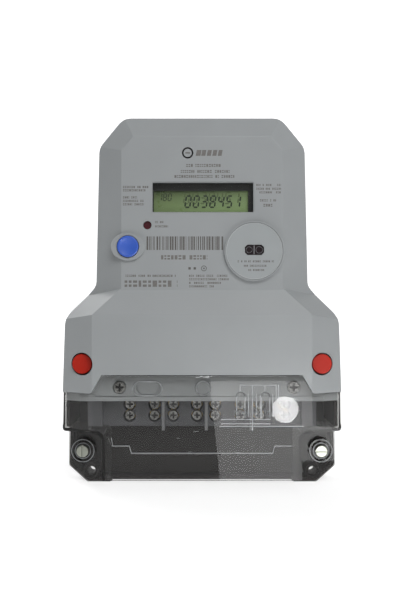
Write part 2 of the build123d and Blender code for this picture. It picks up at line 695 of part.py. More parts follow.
# ---- rear base, gasket and hanger ----
def make_rear_base():
    outline = base_outline()
    base = slab(outline, 0.0, BASE_DEPTH)
    pocket = inner_face(outline, WALL)
    upper_zone = Pos(0.0, COVER_SIDE_BOTTOM_Z + WALL + BIG / 2) * Rectangle(BIG, BIG)
    lower_zone = Pos(0.0, COVER_SIDE_BOTTOM_Z - BIG / 2) * Rectangle(BIG, BIG)
    base -= slab(pocket & upper_zone, BASE_FLOOR, BASE_DEPTH + SPARE)
    base -= slab(pocket & lower_zone, LOWER_FLOOR, BASE_DEPTH + SPARE)
    tongue_x = TONGUE_HALF_WIDTH + TONGUE_GAP
    open_depth = BASE_DEPTH + SPARE
    base -= block(-tongue_x, tongue_x, LOWER_FLOOR, open_depth, *BLOCK_BAY_Z)
    base -= block(-CABLE_HALF_WIDTH, CABLE_HALF_WIDTH, CABLE_LIP_DEPTH, open_depth,
                  BASE_BOTTOM_Z - SPARE, CABLE_TOP_Z)
    for x_low, x_high in (CHEEK_X, (-CHEEK_X[1], -CHEEK_X[0])):
        base += block(x_low, x_high, LOWER_FLOOR - JOIN, CHEEK_DEPTH, *CHEEK_Z)
    return base + base_posts() - base_holes() + hanger_housing() - hanger_pocket()


def base_posts():
    """The posts and rests that stand on the floor of the base."""
    board_posts = [(x, z) for x in sides(BOARD_POST_X) for z in BOARD_POST_Z]
    posts = [rod(x, z, BOARD_POST_R, POST_FOOT, BOARD_BACK) for x, z in board_posts]
    posts += [rod(x, SEAL_Z, CASE_COLUMN_R, POST_FOOT, BASE_DEPTH) for x in sides(SEAL_X)]
    posts += [rod(x, SEALING_SCREW_Z, SEALING_POST_R, POST_FOOT, BASE_DEPTH) for x in sides(SEALING_SCREW_X)]
    posts += [rod(x, 0.0, FIXING_POST_R, POST_FOOT, FIXING_POST_DEPTH) for x in sides(FIXING_SPACING / 2)]
    rest = TRANSFORMER_REST_HALF_WIDTH
    rest_top = TERMINAL_DEPTH - TRANSFORMER_R[1]
    posts += [block(x - rest, x + rest, POST_FOOT, rest_top, *TRANSFORMER_REST_Z) for x in TRANSFORMER_X]
    return posts


def base_holes():
    """The screw holes in the posts, and the two lower fixing holes with their recesses."""
    board_hole_r = BOARD_SCREW_R + BOARD_SCREW_GAP[0]
    board_hole_floor = BOARD_BACK - BOARD_SCREW_LENGTH - BOARD_SCREW_END_ROOM
    case_hole_floor = CASE_SCREW_TIP - CASE_SCREW_END_ROOM
    sealing_hole_floor = SEALING_SCREW_TIP - SEALING_SCREW_END_ROOM
    open_depth = BASE_DEPTH + SPARE
    holes = []
    for x in sides(BOARD_POST_X):
        for z in BOARD_POST_Z:
            holes.append(rod(x, z, board_hole_r, board_hole_floor, BOARD_BACK + SPARE))
    for x in sides(SEAL_X):
        holes.append(rod(x, SEAL_Z, CASE_SCREW_R + THREAD_GAP, case_hole_floor, open_depth))
    sealing_hole_r = SEALING_SCREW_R + SEALING_SCREW_GAP
    for x in sides(SEALING_SCREW_X):
        holes.append(rod(x, SEALING_SCREW_Z, sealing_hole_r, sealing_hole_floor, open_depth))
    for x in sides(FIXING_SPACING / 2):
        holes.append(rod(x, 0.0, FIXING_HOLE_R, -SPARE, FIXING_RECESS_FLOOR + SPARE))
        holes.append(rod(x, 0.0, FIXING_RECESS_R, FIXING_RECESS_FLOOR, open_depth))
    return holes


def hanger_housing():
    """The thickened pad inside the top of the base that the hanger slides in."""
    return [
        block(-half_width, half_width, HOUSING_START, front_depth, bottom_z, HOUSING_TOP_Z)
        for half_width, front_depth, bottom_z in (HOUSING_PAD, HOUSING_CROWN)
    ]


def hanger_pocket():
    """The undercut track for the hanger, open at the back and at the top, and room for a screw head."""
    half = HANGER_HALF_WIDTH + HANGER_SIDE_GAP
    mouth_half = HANGER_MOUTH_HALF_WIDTH
    bottom_z = HANGER_Z[0] - HANGER_END_GAP
    top_z = TOP_Z + SPARE
    back, front = HANGER_DEPTH
    track = block(-half, half, back - HANGER_FACE_GAP, front + HANGER_FACE_GAP, bottom_z, top_z)
    mouth = block(-mouth_half, mouth_half, -SPARE, back, bottom_z, top_z)
    return track + mouth + block(-mouth_half, mouth_half, 0.0, SCREW_ROOM_DEPTH, SCREW_ROOM_BOTTOM_Z, top_z)


def make_hanger():
    plate = block(-HANGER_HALF_WIDTH, HANGER_HALF_WIDTH, *HANGER_DEPTH, *HANGER_Z)
    plate = fillet(plate.edges().filter_by(Axis.Y), HANGER_CORNER_R)
    return plate - rod(0.0, HANGER_HOLE_Z, HANGER_HOLE_R, 0.0, HANGER_DEPTH[1] + SPARE)


def make_gasket():
    outline = front_cover_outline()
    ring = inner_face(outline, GASKET_INSET[0]) - inner_face(outline, GASKET_INSET[1])
    strip = slab(ring, BASE_DEPTH, COVER_START)
    return strip & block(-BIG, BIG, 0.0, BIG, COVER_SIDE_BOTTOM_Z - 0.01, BIG)


# ---- circuit board and what stands on it ----
def make_main_board():
    board = block(-BOARD_HALF_WIDTH, BOARD_HALF_WIDTH, BOARD_BACK, BOARD_FRONT, *BOARD_Z)
    hole_r = BOARD_SCREW_R + BOARD_SCREW_GAP[1]
    for x in sides(BOARD_POST_X):
        for z in BOARD_POST_Z:
            board -= rod(x, z, hole_r, BOARD_BACK - SPARE, BOARD_FRONT + SPARE)
    return board


def make_board_screws():
    screws = []
    head_top = BOARD_FRONT + BOARD_SCREW_HEAD_HEIGHT
    slot_floor = BOARD_FRONT + BOARD_SCREW_SLOT_FLOOR
    for x in sides(BOARD_POST_X):
        for z in BOARD_POST_Z:
            head = rod(x, z, BOARD_SCREW_HEAD_R, BOARD_FRONT, head_top)
            head -= cross_slot(x, z, BOARD_SCREW_SLOT_LENGTH, slot_floor, head_top + SPARE)
            screws.append(head + rod(x, z, BOARD_SCREW_R, BOARD_BACK - BOARD_SCREW_LENGTH, BOARD_FRONT))
    return Compound(screws)


def make_display_glass():
    half = DISPLAY_GLASS_HALF_WIDTH
    return block(-half, half, *DISPLAY_DEPTH, *DISPLAY_GLASS_Z)


def make_display_frame():
    frame = block(-FRAME_HALF_WIDTH, FRAME_HALF_WIDTH, BOARD_FRONT, FRAME_FRONT, *FRAME_Z)
    inner_half = FRAME_HALF_WIDTH - FRAME_WALL
    inner_top = DISPLAY_DEPTH[1] + FRAME_GAP
    frame -= block(-inner_half, inner_half, BOARD_FRONT - SPARE, inner_top,
                   FRAME_Z[0] + FRAME_WALL, FRAME_Z[1] - FRAME_WALL)
    return frame - block(*DISPLAY_VIEW_X, DISPLAY_DEPTH[0], FRAME_FRONT + SPARE, *DISPLAY_VIEW_Z)


def make_display_contacts():
    """The two conductive rubber strips between the board and the glass."""
    half = CONTACT_HALF_WIDTH
    return Compound([block(-half, half, BOARD_FRONT, DISPLAY_DEPTH[0], *z_limits) for z_limits in CONTACT_Z])


def make_emitter(x, z):
    """A round-nosed light-emitting diode that stands on the board."""
    body = round_front(rod(x, z, LAMP_R, BOARD_FRONT, LAMP_TIP_DEPTH), LAMP_NOSE_R)
    rim_r, rim_thickness = LAMP_RIM
    return body + rod(x, z, rim_r, BOARD_FRONT, BOARD_FRONT + rim_thickness)


def make_port_emitters():
    return Compound([make_emitter(PORT_X + x, PORT_WINDOW_Z) for x in sides(PORT_LAMP_OFFSET)])


def make_chip(x, z, width, height):
    top = BOARD_FRONT + CHIP_HEIGHT
    return block(x - width / 2, x + width / 2, BOARD_FRONT, top, z - height / 2, z + height / 2)


def make_crystal():
    return slab(Pos(*CRYSTAL_CENTRE) * SlotOverall(*CRYSTAL_SIZE), BOARD_FRONT, BOARD_FRONT + CRYSTAL_HEIGHT)


def make_battery():
    cell = Cylinder(BATTERY_R, BATTERY_LENGTH)
    return Pos(0.0, -BOARD_FRONT - BATTERY_R, BATTERY_Z) * Rot(0.0, 90.0, 0.0) * cell


def make_bulk_capacitor():
    can = rod(*BULK_CAPACITOR_PLACE, BULK_CAPACITOR_R, BOARD_BACK - BULK_CAPACITOR_LENGTH, BOARD_BACK)
    return fillet(can.edges().filter_by(GeomType.CIRCLE).sort_by(Axis.Y)[-1], BULK_CAPACITOR_EDGE_R)


def make_supply_capacitors():
    half = SUPPLY_CAPACITOR_HALF_WIDTH
    back = BOARD_BACK - SUPPLY_CAPACITOR_LENGTH
    return Compound([block(x - half, x + half, back, BOARD_BACK, *SUPPLY_CAPACITOR_Z) for x in TRANSFORMER_X])


def make_varistors():
    disc = Cylinder(VARISTOR_R, VARISTOR_THICKNESS)
    return Compound([Pos(x, VARISTOR_R - BOARD_BACK, VARISTOR_Z) * disc for x in TRANSFORMER_X])


# ---- terminals, current bars and transformers ----
def make_terminal_block():
    width = BLOCK_HALF_WIDTH
    body = block(-width, width, *BLOCK_DEPTH, *BLOCK_Z)
    body -= block(-width - SPARE, width + SPARE, BLOCK_STEP_DEPTH, BIG, 0.0, BLOCK_STEP_Z)
    for x_low in BLOCK_FOOT_HALF_WIDTH, -BIG - BLOCK_FOOT_HALF_WIDTH:
        body -= block(x_low, x_low + BIG, 0.0, BIG, 0.0, BLOCK_STEP_Z)
    body += block(-TONGUE_HALF_WIDTH, TONGUE_HALF_WIDTH, *BLOCK_DEPTH, BLOCK_Z[1] - JOIN, TONGUE_TOP_Z)
    for x in RIB_X:
        body += block(x - RIB_HALF_THICKNESS, x + RIB_HALF_THICKNESS, BLOCK_STEP_DEPTH - JOIN, RIB_DEPTH,
                      RIB_BOTTOM_Z, BLOCK_Z[1])
    for x in sides(width - BLOCK_EAR_WIDTH / 2):
        body += block(x - BLOCK_EAR_WIDTH / 2, x + BLOCK_EAR_WIDTH / 2, BLOCK_DEPTH[1] - JOIN,
                      BLOCK_DEPTH[1] + BLOCK_EAR_HEIGHT, BLOCK_STEP_Z, BLOCK_Z[1])
    for x in TERMINAL_X:
        body -= terminal_cuts(x)
    for x in SHELF_SCREW_X:
        body -= rod(x, SHELF_SCREW_Z, SHELF_SCREW_SHANK_R + THREAD_GAP,
                    SHELF_SCREW_TIP_DEPTH - SHELF_SCREW_END_ROOM, BLOCK_DEPTH[1] + SPARE)
    return body


def terminal_cuts(x):
    """What one terminal takes out of the block: clamp pocket, wire entry, bar slot and screw wells."""
    half = CLAMP_WIDTH / 2 + CLAMP_GAP
    bar_half = BAR_WIDTH / 2 + BAR_GAP
    bar_reach = BAR_THICKNESS / 2 + BAR_GAP
    cuts = [
        block(x - half, x + half, CLAMP_DEPTH[0] - CLAMP_GAP, CLAMP_DEPTH[1] + CLAMP_GAP, *CLAMP_Z),
        upright(x, TERMINAL_DEPTH, TERMINAL_ENTRY_R, BLOCK_Z[0] - SPARE, CLAMP_Z[0]),
        block(x - bar_half, x + bar_half, TERMINAL_DEPTH - bar_reach, TERMINAL_DEPTH + bar_reach,
              CLAMP_Z[1], TONGUE_TOP_Z + SPARE),
    ]
    for z in TERMINAL_ROWS_Z:
        cuts.append(rod(x, z, TERMINAL_SCREW_WELL_R, CLAMP_DEPTH[1], BLOCK_DEPTH[1] + SPARE))
    return cuts


def make_terminal_clamps():
    clamps = []
    half = CLAMP_WIDTH / 2
    for x in TERMINAL_X:
        clamp = block(x - half, x + half, *CLAMP_DEPTH, *CLAMP_Z)
        clamp -= upright(x, TERMINAL_DEPTH, TERMINAL_BORE_R, CLAMP_Z[0] - SPARE, CLAMP_Z[1] + SPARE)
        for z in TERMINAL_ROWS_Z:
            clamp -= rod(x, z, TERMINAL_SCREW_R + THREAD_GAP, TERMINAL_DEPTH, CLAMP_DEPTH[1] + SPARE)
        clamps.append(clamp)
    return Compound(clamps)


def make_terminal_screws():
    screws = []
    tip = TERMINAL_DEPTH + TERMINAL_BORE_R + TERMINAL_SCREW_TIP_GAP
    slot_floor = TERMINAL_SCREW_TOP - TERMINAL_SLOT_DEPTH
    for x in TERMINAL_X:
        for z in TERMINAL_ROWS_Z:
            head = rod(x, z, TERMINAL_SCREW_HEAD_R, TERMINAL_SCREW_NECK, TERMINAL_SCREW_TOP)
            head -= cross_slot(x, z, TERMINAL_SLOT_LENGTH, slot_floor, TERMINAL_SCREW_TOP + SPARE)
            screws.append(head + rod(x, z, TERMINAL_SCREW_R, tip, TERMINAL_SCREW_NECK))
    return Compound(screws)


def make_current_bar(left_x, right_x):
    """A flat copper bridge that leaves one terminal, crosses over and comes back to its partner."""
    half_width = BAR_WIDTH / 2
    low = TERMINAL_DEPTH - BAR_THICKNESS / 2
    high = TERMINAL_DEPTH + BAR_THICKNESS / 2
    bar = block(left_x - half_width, right_x + half_width, low, high, BAR_TOP_Z - BAR_WIDTH, BAR_TOP_Z)
    for x in left_x, right_x:
        bar += block(x - half_width, x + half_width, low, high, CLAMP_Z[1], BAR_TOP_Z - JOIN)
    return bar


def make_current_transformer(x):
    inner, outer = TRANSFORMER_R
    ring = Cylinder(outer, TRANSFORMER_WIDTH) - Cylinder(inner, TRANSFORMER_WIDTH + SPARE)
    ring = fillet(ring.edges().filter_by(GeomType.CIRCLE), TRANSFORMER_EDGE_R)
    return Pos(x, -TERMINAL_DEPTH, TRANSFORMER_Z) * Rot(0.0, 90.0, 0.0) * ring


def make_voltage_pins():
    """A spring pin from the top of each current bar up to the lower edge of the board."""
    pins = []
    for x in TERMINAL_X[::2]:
        arm = block(x - PIN_R, x + PIN_R, TERMINAL_DEPTH, BOARD_BACK, PIN_ARM_Z, PIN_TOP_Z)
        pins.append(upright(x, TERMINAL_DEPTH, PIN_R, BAR_TOP_Z, PIN_TOP_Z) + arm)
    return Compound(pins)


# ---- clear terminal cover and its sealing screws ----
def terminal_cover_outline():
    return mirrored_outline([
        (COVER_HALF_WIDTH, COVER_TOP_Z, 0.0),
        (LOWER_FACE_HALF_WIDTH, WING_TOP_Z, 0.0),
        (FULL_HALF_WIDTH, WING_TOP_Z, 0.0),
        (FULL_HALF_WIDTH, NICHE_TOP_Z, WING_CORNER_R),
        (COVER_HALF_WIDTH, NICHE_TOP_Z, NICHE_CORNER_R),
        (COVER_HALF_WIDTH, COVER_BOTTOM_Z, 0.0),
    ])


def terminal_cover_volume(inset):
    """Everything inside the clear cover's outer faces, or inside those faces moved in, open below."""
    outline = terminal_cover_outline()
    if inset > 0:
        outline = inner_face(outline, inset)
        outline += Rectangle(2 * (COVER_HALF_WIDTH - inset), OPEN_FOOT_HEIGHT)
    return behind_bevels(slab(outline, FLANGE_DEPTH[0], LOWER_FACE_DEPTH - inset), inset)


def cover_flange(side):
    """The flat foot round one sealing screw, with its boss; side is 1 for right and -1 for left."""
    inner_x = side * (COVER_HALF_WIDTH - JOIN)
    top_z = NICHE_TOP_Z + JOIN
    foot = make_face(Polyline(
        (inner_x, top_z),
        (side * FULL_HALF_WIDTH, top_z),
        (side * FULL_HALF_WIDTH, FOOT_CORNER_Z),
        (side * FOOT_CORNER_X, BASE_BOTTOM_Z),
        (inner_x, BASE_BOTTOM_Z),
        close=True,
    ))
    boss = rod(side * SEALING_SCREW_X, SEALING_SCREW_Z, SEALING_BOSS_R, FLANGE_DEPTH[0], SEALING_BOSS_DEPTH)
    return slab(foot, *FLANGE_DEPTH) + boss


def sealing_screw_seat(x):
    """What a sealing screw takes out of the cover, and the ring groove round its head."""
    inner_r, outer_r = SEALING_GROOVE_R
    shank = rod(x, SEALING_SCREW_Z, SEALING_SCREW_R + SEALING_SCREW_GAP, 0.0, BIG)
    head = rod(x, SEALING_SCREW_Z, SEALING_HEAD_R + SEALING_HEAD_GAP, SEALING_SEAT, BIG)
    groove = rod(x, SEALING_SCREW_Z, outer_r, SEALING_GROOVE_DEPTH, BIG)
    core = rod(x, SEALING_SCREW_Z, inner_r, SEALING_GROOVE_DEPTH - SPARE, BIG + SPARE)
    return [shank, head, groove - core]


def breakout_groove():
    """The thin line in the front wall that the lower strip breaks away along."""
    left = [(-x, z) for x, z in reversed(BREAKOUT_POINTS[1:])]
    line = Polyline(*left, *BREAKOUT_POINTS)
    strip = make_face(offset(line, BREAKOUT_HALF_WIDTH, side=Side.BOTH))
    return slab(strip, LOWER_FACE_DEPTH - BREAKOUT_DEPTH, LOWER_FACE_DEPTH + SPARE)


def make_terminal_cover():
    cover = soften_face(terminal_cover_volume(0.0), EDGE_RADIUS, COVER_TOP_Z - 1.0)
    for side in sides(1):
        cover += cover_flange(side)
    cover -= terminal_cover_volume(COVER_WALL)
    for x in sides(SEALING_SCREW_X):
        cover -= sealing_screw_seat(x)
    shelf_x = SHELF_END_X + SHELF_GAP
    shelf_room = block(-shelf_x, shelf_x, 0.0, SHELF_DEPTH + SHELF_GAP, SHELF_BOTTOM_Z - SHELF_GAP, BIG)
    cover -= behind_bevels(shelf_room, COVER_WALL)
    return cover - breakout_groove()


def make_sealing_screw(x, slot_half_size):
    """A sealing screw; the slot's half sizes across and upwards say how far it was turned."""
    slot_x, slot_z = slot_half_size
    head = rod(x, SEALING_SCREW_Z, SEALING_HEAD_R, SEALING_SEAT, SEALING_HEAD_TOP)
    head = round_front(head, SEALING_HEAD_EDGE_R)
    head -= block(x - slot_x, x + slot_x, SEALING_HEAD_TOP - SEALING_SLOT_DEPTH, BIG,
                  SEALING_SCREW_Z - slot_z, SEALING_SCREW_Z + slot_z)
    wire_hole = Rot(0.0, 90.0, 0.0) * Cylinder(SEALING_WIRE_R, 3 * SEALING_HEAD_R)
    head -= Pos(x, -SEALING_WIRE_DEPTH, SEALING_SCREW_Z) * wire_hole
    return head + rod(x, SEALING_SCREW_Z, SEALING_SCREW_R, SEALING_SCREW_TIP, SEALING_SEAT)


def make_parts():
    """Every node of the meter, by name."""
    parts = {
        "rear_base": make_rear_base(),
        "hanger_plate": make_hanger(),
        "case_gasket": make_gasket(),
        "front_cover": make_front_cover(),
        "display_window": make_display_window(),
        "display_frame": make_display_frame(),
        "display_glass": make_display_glass(),
        "display_contacts": make_display_contacts(),
        "port_plate": make_port_plate(),
        "port_window": make_port_window(),
        "port_emitters": make_port_emitters(),
        "pulse_lens": make_pulse_lens(),
        "pulse_emitter": make_emitter(PULSE_X, PULSE_Z),
        "scroll_button": make_scroll_button(),
        "switch_plunger": make_switch_plunger(),
        "switch_body": make_switch_body(),
        "seal_plug_left": make_seal_plug(-SEAL_X),
        "seal_plug_right": make_seal_plug(SEAL_X),
        "case_screws": make_case_screws(),
        "shelf_screws": make_shelf_screws(),
        "main_board": make_main_board(),
        "board_screws": make_board_screws(),
        "metering_chip": make_chip(*METERING_CHIP),
        "processor_chip": make_chip(*PROCESSOR_CHIP),
        "memory_chip": make_chip(*MEMORY_CHIP),
        "clock_crystal": make_crystal(),
        "backup_battery": make_battery(),
        "bulk_capacitor": make_bulk_capacitor(),
        "supply_capacitors": make_supply_capacitors(),
        "varistors": make_varistors(),
        "terminal_block": make_terminal_block(),
        "terminal_clamps": make_terminal_clamps(),
        "terminal_screws": make_terminal_screws(),
        "voltage_pins": make_voltage_pins(),
        "neutral_bar": make_current_bar(*TERMINAL_X[6:8]),
        "terminal_cover": make_terminal_cover(),
        "sealing_screw_left": make_sealing_screw(-SEALING_SCREW_X, SEALING_SLOT_HALF),
        "sealing_screw_right": make_sealing_screw(SEALING_SCREW_X, SEALING_SLOT_HALF[::-1]),
    }
    for phase, x in enumerate(TRANSFORMER_X):
        left_x, right_x = TERMINAL_X[2 * phase:2 * phase + 2]
        parts[f"current_bar_l{phase + 1}"] = make_current_bar(left_x, right_x)
        parts[f"current_transformer_l{phase + 1}"] = make_current_transformer(x)
    return parts


os.makedirs("parts", exist_ok=True)
for name, shape in make_parts().items():
    export_step(shape, f"parts/{name}.step")
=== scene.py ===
import math
import random

import bmesh
import bpy
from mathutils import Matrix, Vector


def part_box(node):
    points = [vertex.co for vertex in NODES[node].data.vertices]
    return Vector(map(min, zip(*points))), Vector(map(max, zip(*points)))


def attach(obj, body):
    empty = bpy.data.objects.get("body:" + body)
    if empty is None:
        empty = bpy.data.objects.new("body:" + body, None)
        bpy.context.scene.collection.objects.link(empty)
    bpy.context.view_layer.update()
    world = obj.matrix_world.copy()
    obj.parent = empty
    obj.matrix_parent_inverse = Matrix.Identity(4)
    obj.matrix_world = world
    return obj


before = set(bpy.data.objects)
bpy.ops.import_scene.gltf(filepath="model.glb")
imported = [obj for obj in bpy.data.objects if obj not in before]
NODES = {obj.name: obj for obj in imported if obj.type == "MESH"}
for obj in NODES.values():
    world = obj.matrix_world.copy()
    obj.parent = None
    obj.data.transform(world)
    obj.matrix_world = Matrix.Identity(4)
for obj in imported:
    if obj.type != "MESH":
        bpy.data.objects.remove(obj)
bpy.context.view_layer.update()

MM = 0.001
TINY = 0.00004  # the thickness of print
BLACK_LEVEL = (0.0, 0.0, 0.0)
FLOOR_GLOW = (0.6, 0.6, 0.6)
BACKDROP_GLOW = (0.95, 0.95, 0.95)
WORLD_STRENGTH = 0.2
SHADOW_SHIFT = (-0.9, 2.4)  # of the digits' shadows on the reflector, across and up, in millimetres


# ---- places read from the frame ----
def corner_low(node):
    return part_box(node)[0]


def middle(node):
    low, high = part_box(node)
    return (low + high) / 2


FACE_Y = corner_low("display_window").y - 0.7 * MM
COVER_FRONT_Y = corner_low("terminal_cover").y
GLASS_Y = corner_low("display_glass").y
BOSS_Y = -27.0 * MM
RIB_Y = -49.0 * MM
SHELF_RECESS_Y = -49.65 * MM  # just in front of the floors of the driver recesses
TERMINAL_RECESS_Y = -38.15 * MM
SHELF_SCREWS = ((-52.1, 60.4), (57.9, 60.4))  # X and Z in millimetres
TERMINAL_SCREWS = [
    (x, z) for x in (-46.6, -30.6, -18.5, -3.2, 8.6, 24.9, 37.0, 53.0) for z in (41.0, 48.2)
]
RIBS_X = (-24.6, 2.7, 31.0)


# ---- materials ----
class Shader:
    """A node tree being built around one Principled shader."""

    def __init__(self, name):
        self.material = bpy.data.materials.new(name)
        self.material.use_nodes = True
        self.tree = self.material.node_tree
        self.main = self.tree.nodes["Principled BSDF"]
        self.place = self.add("ShaderNodeTexCoord").outputs["Object"]

    def add(self, kind, **values):
        node = self.tree.nodes.new(kind)
        for key, value in values.items():
            setattr(node, key, value)
        return node

    def join(self, source, target):
        self.tree.links.new(source, target)

    def noise(self, scale, detail=3.0, roughness=0.55):
        node = self.add("ShaderNodeTexNoise")
        node.inputs["Scale"].default_value = scale
        node.inputs["Detail"].default_value = detail
        node.inputs["Roughness"].default_value = roughness
        self.join(self.place, node.inputs["Vector"])
        return node.outputs["Fac"]

    def ramp(self, source, stops):
        node = self.add("ShaderNodeValToRGB")
        elements = node.color_ramp.elements
        while len(elements) < len(stops):
            elements.new(0.5)
        for element, (position, colour) in zip(elements, stops):
            element.position = position
            element.color = (*colour, 1.0)
        self.join(source, node.inputs["Fac"])
        return node.outputs["Color"]

    def spread(self, source, low, high):
        node = self.add("ShaderNodeMapRange")
        node.inputs["From Min"].default_value = 0.3
        node.inputs["From Max"].default_value = 0.7
        node.inputs["To Min"].default_value = low
        node.inputs["To Max"].default_value = high
        self.join(source, node.inputs["Value"])
        return node.outputs["Result"]

    def bump(self, source, strength, distance):
        node = self.add("ShaderNodeBump")
        node.inputs["Strength"].default_value = strength
        node.inputs["Distance"].default_value = distance
        self.join(source, node.inputs["Height"])
        self.join(node.outputs["Normal"], self.main.inputs["Normal"])


def scaled(colour, factor):
    return tuple(min(1.0, channel * factor) for channel in colour)


def plastic(name, colour, rough=(0.35, 0.5), grain=1400.0, depth=0.00002, mottle=0.06, coat=0.0, shine=0.5):
    """Moulded plastic: faint mottling, slow changes of gloss and a fine moulded grain."""
    shader = Shader(name)
    slow = shader.noise(22.0, 4.0)
    stops = [(0.3, scaled(colour, 1.0 - mottle)), (0.7, scaled(colour, 1.0 + mottle))]
    shader.join(shader.ramp(slow, stops), shader.main.inputs["Base Color"])
    shader.join(shader.spread(shader.noise(90.0, 5.0), *rough), shader.main.inputs["Roughness"])
    shader.bump(shader.noise(grain, 2.0), 0.25, depth)
    shader.main.inputs["Specular IOR Level"].default_value = shine
    shader.main.inputs["Coat Weight"].default_value = coat
    shader.main.inputs["Coat Roughness"].default_value = 0.07
    return shader.material


def metal(name, colour, rough=(0.25, 0.45), scratches=900.0):
    """Plated or bare metal with dulled patches and fine scratches."""
    shader = Shader(name)
    stops = [(0.25, scaled(colour, 0.72)), (0.6, colour), (0.8, scaled(colour, 1.12))]
    shader.join(shader.ramp(shader.noise(160.0, 5.0), stops), shader.main.inputs["Base Color"])
    shader.main.inputs["Metallic"].default_value = 1.0
    shader.join(shader.spread(shader.noise(320.0, 4.0), *rough), shader.main.inputs["Roughness"])
    shader.bump(shader.noise(scratches, 4.0, 0.7), 0.3, 0.00003)
    return shader.material


def ink(name, colour):
    """Printed ink: slightly uneven cover and a dry surface."""
    shader = Shader(name)
    stops = [(0.3, colour), (0.75, scaled(colour, 1.6))]
    shader.join(shader.ramp(shader.noise(1800.0, 3.0), stops), shader.main.inputs["Base Color"])
    shader.join(shader.spread(shader.noise(700.0), 0.45, 0.65), shader.main.inputs["Roughness"])
    shader.bump(shader.noise(2500.0), 0.2, 0.00001)
    return shader.material


def clear(name, colour, rough=(0.02, 0.06), ior=1.5, lamp_pass=0.85):
    """Clear plastic that bends light and lets lamps reach what is behind it."""
    shader = Shader(name)
    stops = [(0.3, scaled(colour, 0.97)), (0.7, colour)]
    shader.join(shader.ramp(shader.noise(18.0, 3.0), stops), shader.main.inputs["Base Color"])
    shader.join(shader.spread(shader.noise(60.0, 5.0), *rough), shader.main.inputs["Roughness"])
    shader.bump(shader.noise(26.0, 2.0), 0.12, 0.0002)
    shader.main.inputs["Transmission Weight"].default_value = 1.0
    shader.main.inputs["IOR"].default_value = ior
    lamps = shader.add("ShaderNodeLightPath").outputs["Is Shadow Ray"]
    through = shader.add("ShaderNodeBsdfTransparent")
    through.inputs["Color"].default_value = (lamp_pass, lamp_pass, lamp_pass, 1.0)
    mix = shader.add("ShaderNodeMixShader")
    output = shader.tree.nodes["Material Output"]
    shader.join(lamps, mix.inputs["Fac"])
    shader.join(shader.main.outputs["BSDF"], mix.inputs[1])
    shader.join(through.outputs["BSDF"], mix.inputs[2])
    shader.join(mix.outputs["Shader"], output.inputs["Surface"])
    return shader.material


def frosted(name, colour):
    """Clear plastic with a matt, scattering surface."""
    shader = Shader(name)
    stops = [(0.3, scaled(colour, 0.85)), (0.7, scaled(colour, 1.1))]
    shader.join(shader.ramp(shader.noise(500.0, 3.0), stops), shader.main.inputs["Base Color"])
    shader.join(shader.spread(shader.noise(700.0), 0.3, 0.5), shader.main.inputs["Roughness"])
    shader.bump(shader.noise(1200.0), 0.3, 0.00003)
    shader.main.inputs["Transmission Weight"].default_value = 0.45
    shader.main.inputs["IOR"].default_value = 1.4
    return shader.material


def circuit_board(name):
    """Green solder mask with the faint relief of copper tracks under it."""
    shader = Shader(name)
    tracks = shader.add("ShaderNodeTexBrick")
    tracks.inputs["Scale"].default_value = 90.0
    tracks.inputs["Mortar Size"].default_value = 0.03
    tracks.inputs["Color1"].default_value = (0.01, 0.10, 0.04, 1.0)
    tracks.inputs["Color2"].default_value = (0.012, 0.13, 0.05, 1.0)
    tracks.inputs["Mortar"].default_value = (0.03, 0.22, 0.09, 1.0)
    shader.join(shader.place, tracks.inputs["Vector"])
    shader.join(tracks.outputs["Color"], shader.main.inputs["Base Color"])
    shader.join(shader.spread(shader.noise(300.0), 0.3, 0.45), shader.main.inputs["Roughness"])
    shader.bump(tracks.outputs["Fac"], 0.4, 0.00005)
    return shader.material


def reflective_display(name, dark, light):
    """Liquid crystal glass over a reflector, with painted shade at the top and left and painted light
    towards the lower right.
    """
    shader = Shader(name)
    axes = shader.add("ShaderNodeSeparateXYZ")
    shader.join(shader.place, axes.inputs["Vector"])
    across = shader.add("ShaderNodeMapRange")
    for socket, value in (("From Min", -0.03), ("From Max", 0.03), ("To Min", 0.0), ("To Max", 0.35)):
        across.inputs[socket].default_value = value
    shader.join(axes.outputs["X"], across.inputs["Value"])
    down = shader.add("ShaderNodeMapRange")
    for socket, value in (("From Min", 0.186), ("From Max", 0.172), ("To Min", 0.0), ("To Max", 0.65)):
        down.inputs[socket].default_value = value
    shader.join(axes.outputs["Z"], down.inputs["Value"])
    total = shader.add("ShaderNodeMath", operation="ADD")
    shader.join(across.outputs["Result"], total.inputs[0])
    shader.join(down.outputs["Result"], total.inputs[1])
    # painted shade at the top and left, painted light towards the lower right
    stops = [(0.0, scaled(dark, 0.4)), (0.3, scaled(dark, 0.92)), (0.95, light)]
    colour = shader.ramp(total.outputs["Value"], stops)
    shader.join(colour, shader.main.inputs["Base Color"])
    shader.join(shader.spread(shader.noise(90.0, 5.0), 0.25, 0.35), shader.main.inputs["Roughness"])
    shader.bump(shader.noise(2600.0, 2.0), 0.2, 0.00001)
    return shader.material


CASE = plastic("case_grey", (0.300, 0.315, 0.322), rough=(0.34, 0.42), mottle=0.02, shine=0.38)
PORT = plastic("port_grey", (0.305, 0.325, 0.332), rough=(0.3, 0.4), mottle=0.02)
BASE = plastic("base_black", (0.015, 0.0125, 0.0115), rough=(0.5, 0.65), grain=260.0, depth=0.000003,
               shine=0.15)
BLOCK = plastic("block_grey", (0.072, 0.073, 0.080), rough=(0.5, 0.7), grain=500.0, depth=0.00001,
                mottle=0.12, shine=0.35)
BLUE = plastic("button_blue", (0.034, 0.105, 0.50), rough=(0.3, 0.4), mottle=0.05, coat=0.15)
RED = plastic("seal_red", (0.39, 0.012, 0.003), rough=(0.35, 0.5), grain=800.0, depth=0.00005, mottle=0.15,
              shine=0.2)
BLACK = plastic("frame_black", (0.012, 0.012, 0.012), rough=(0.45, 0.6))
LENS = plastic("lens_red", (0.07, 0.008, 0.014), rough=(0.12, 0.2), mottle=0.1, coat=0.6)
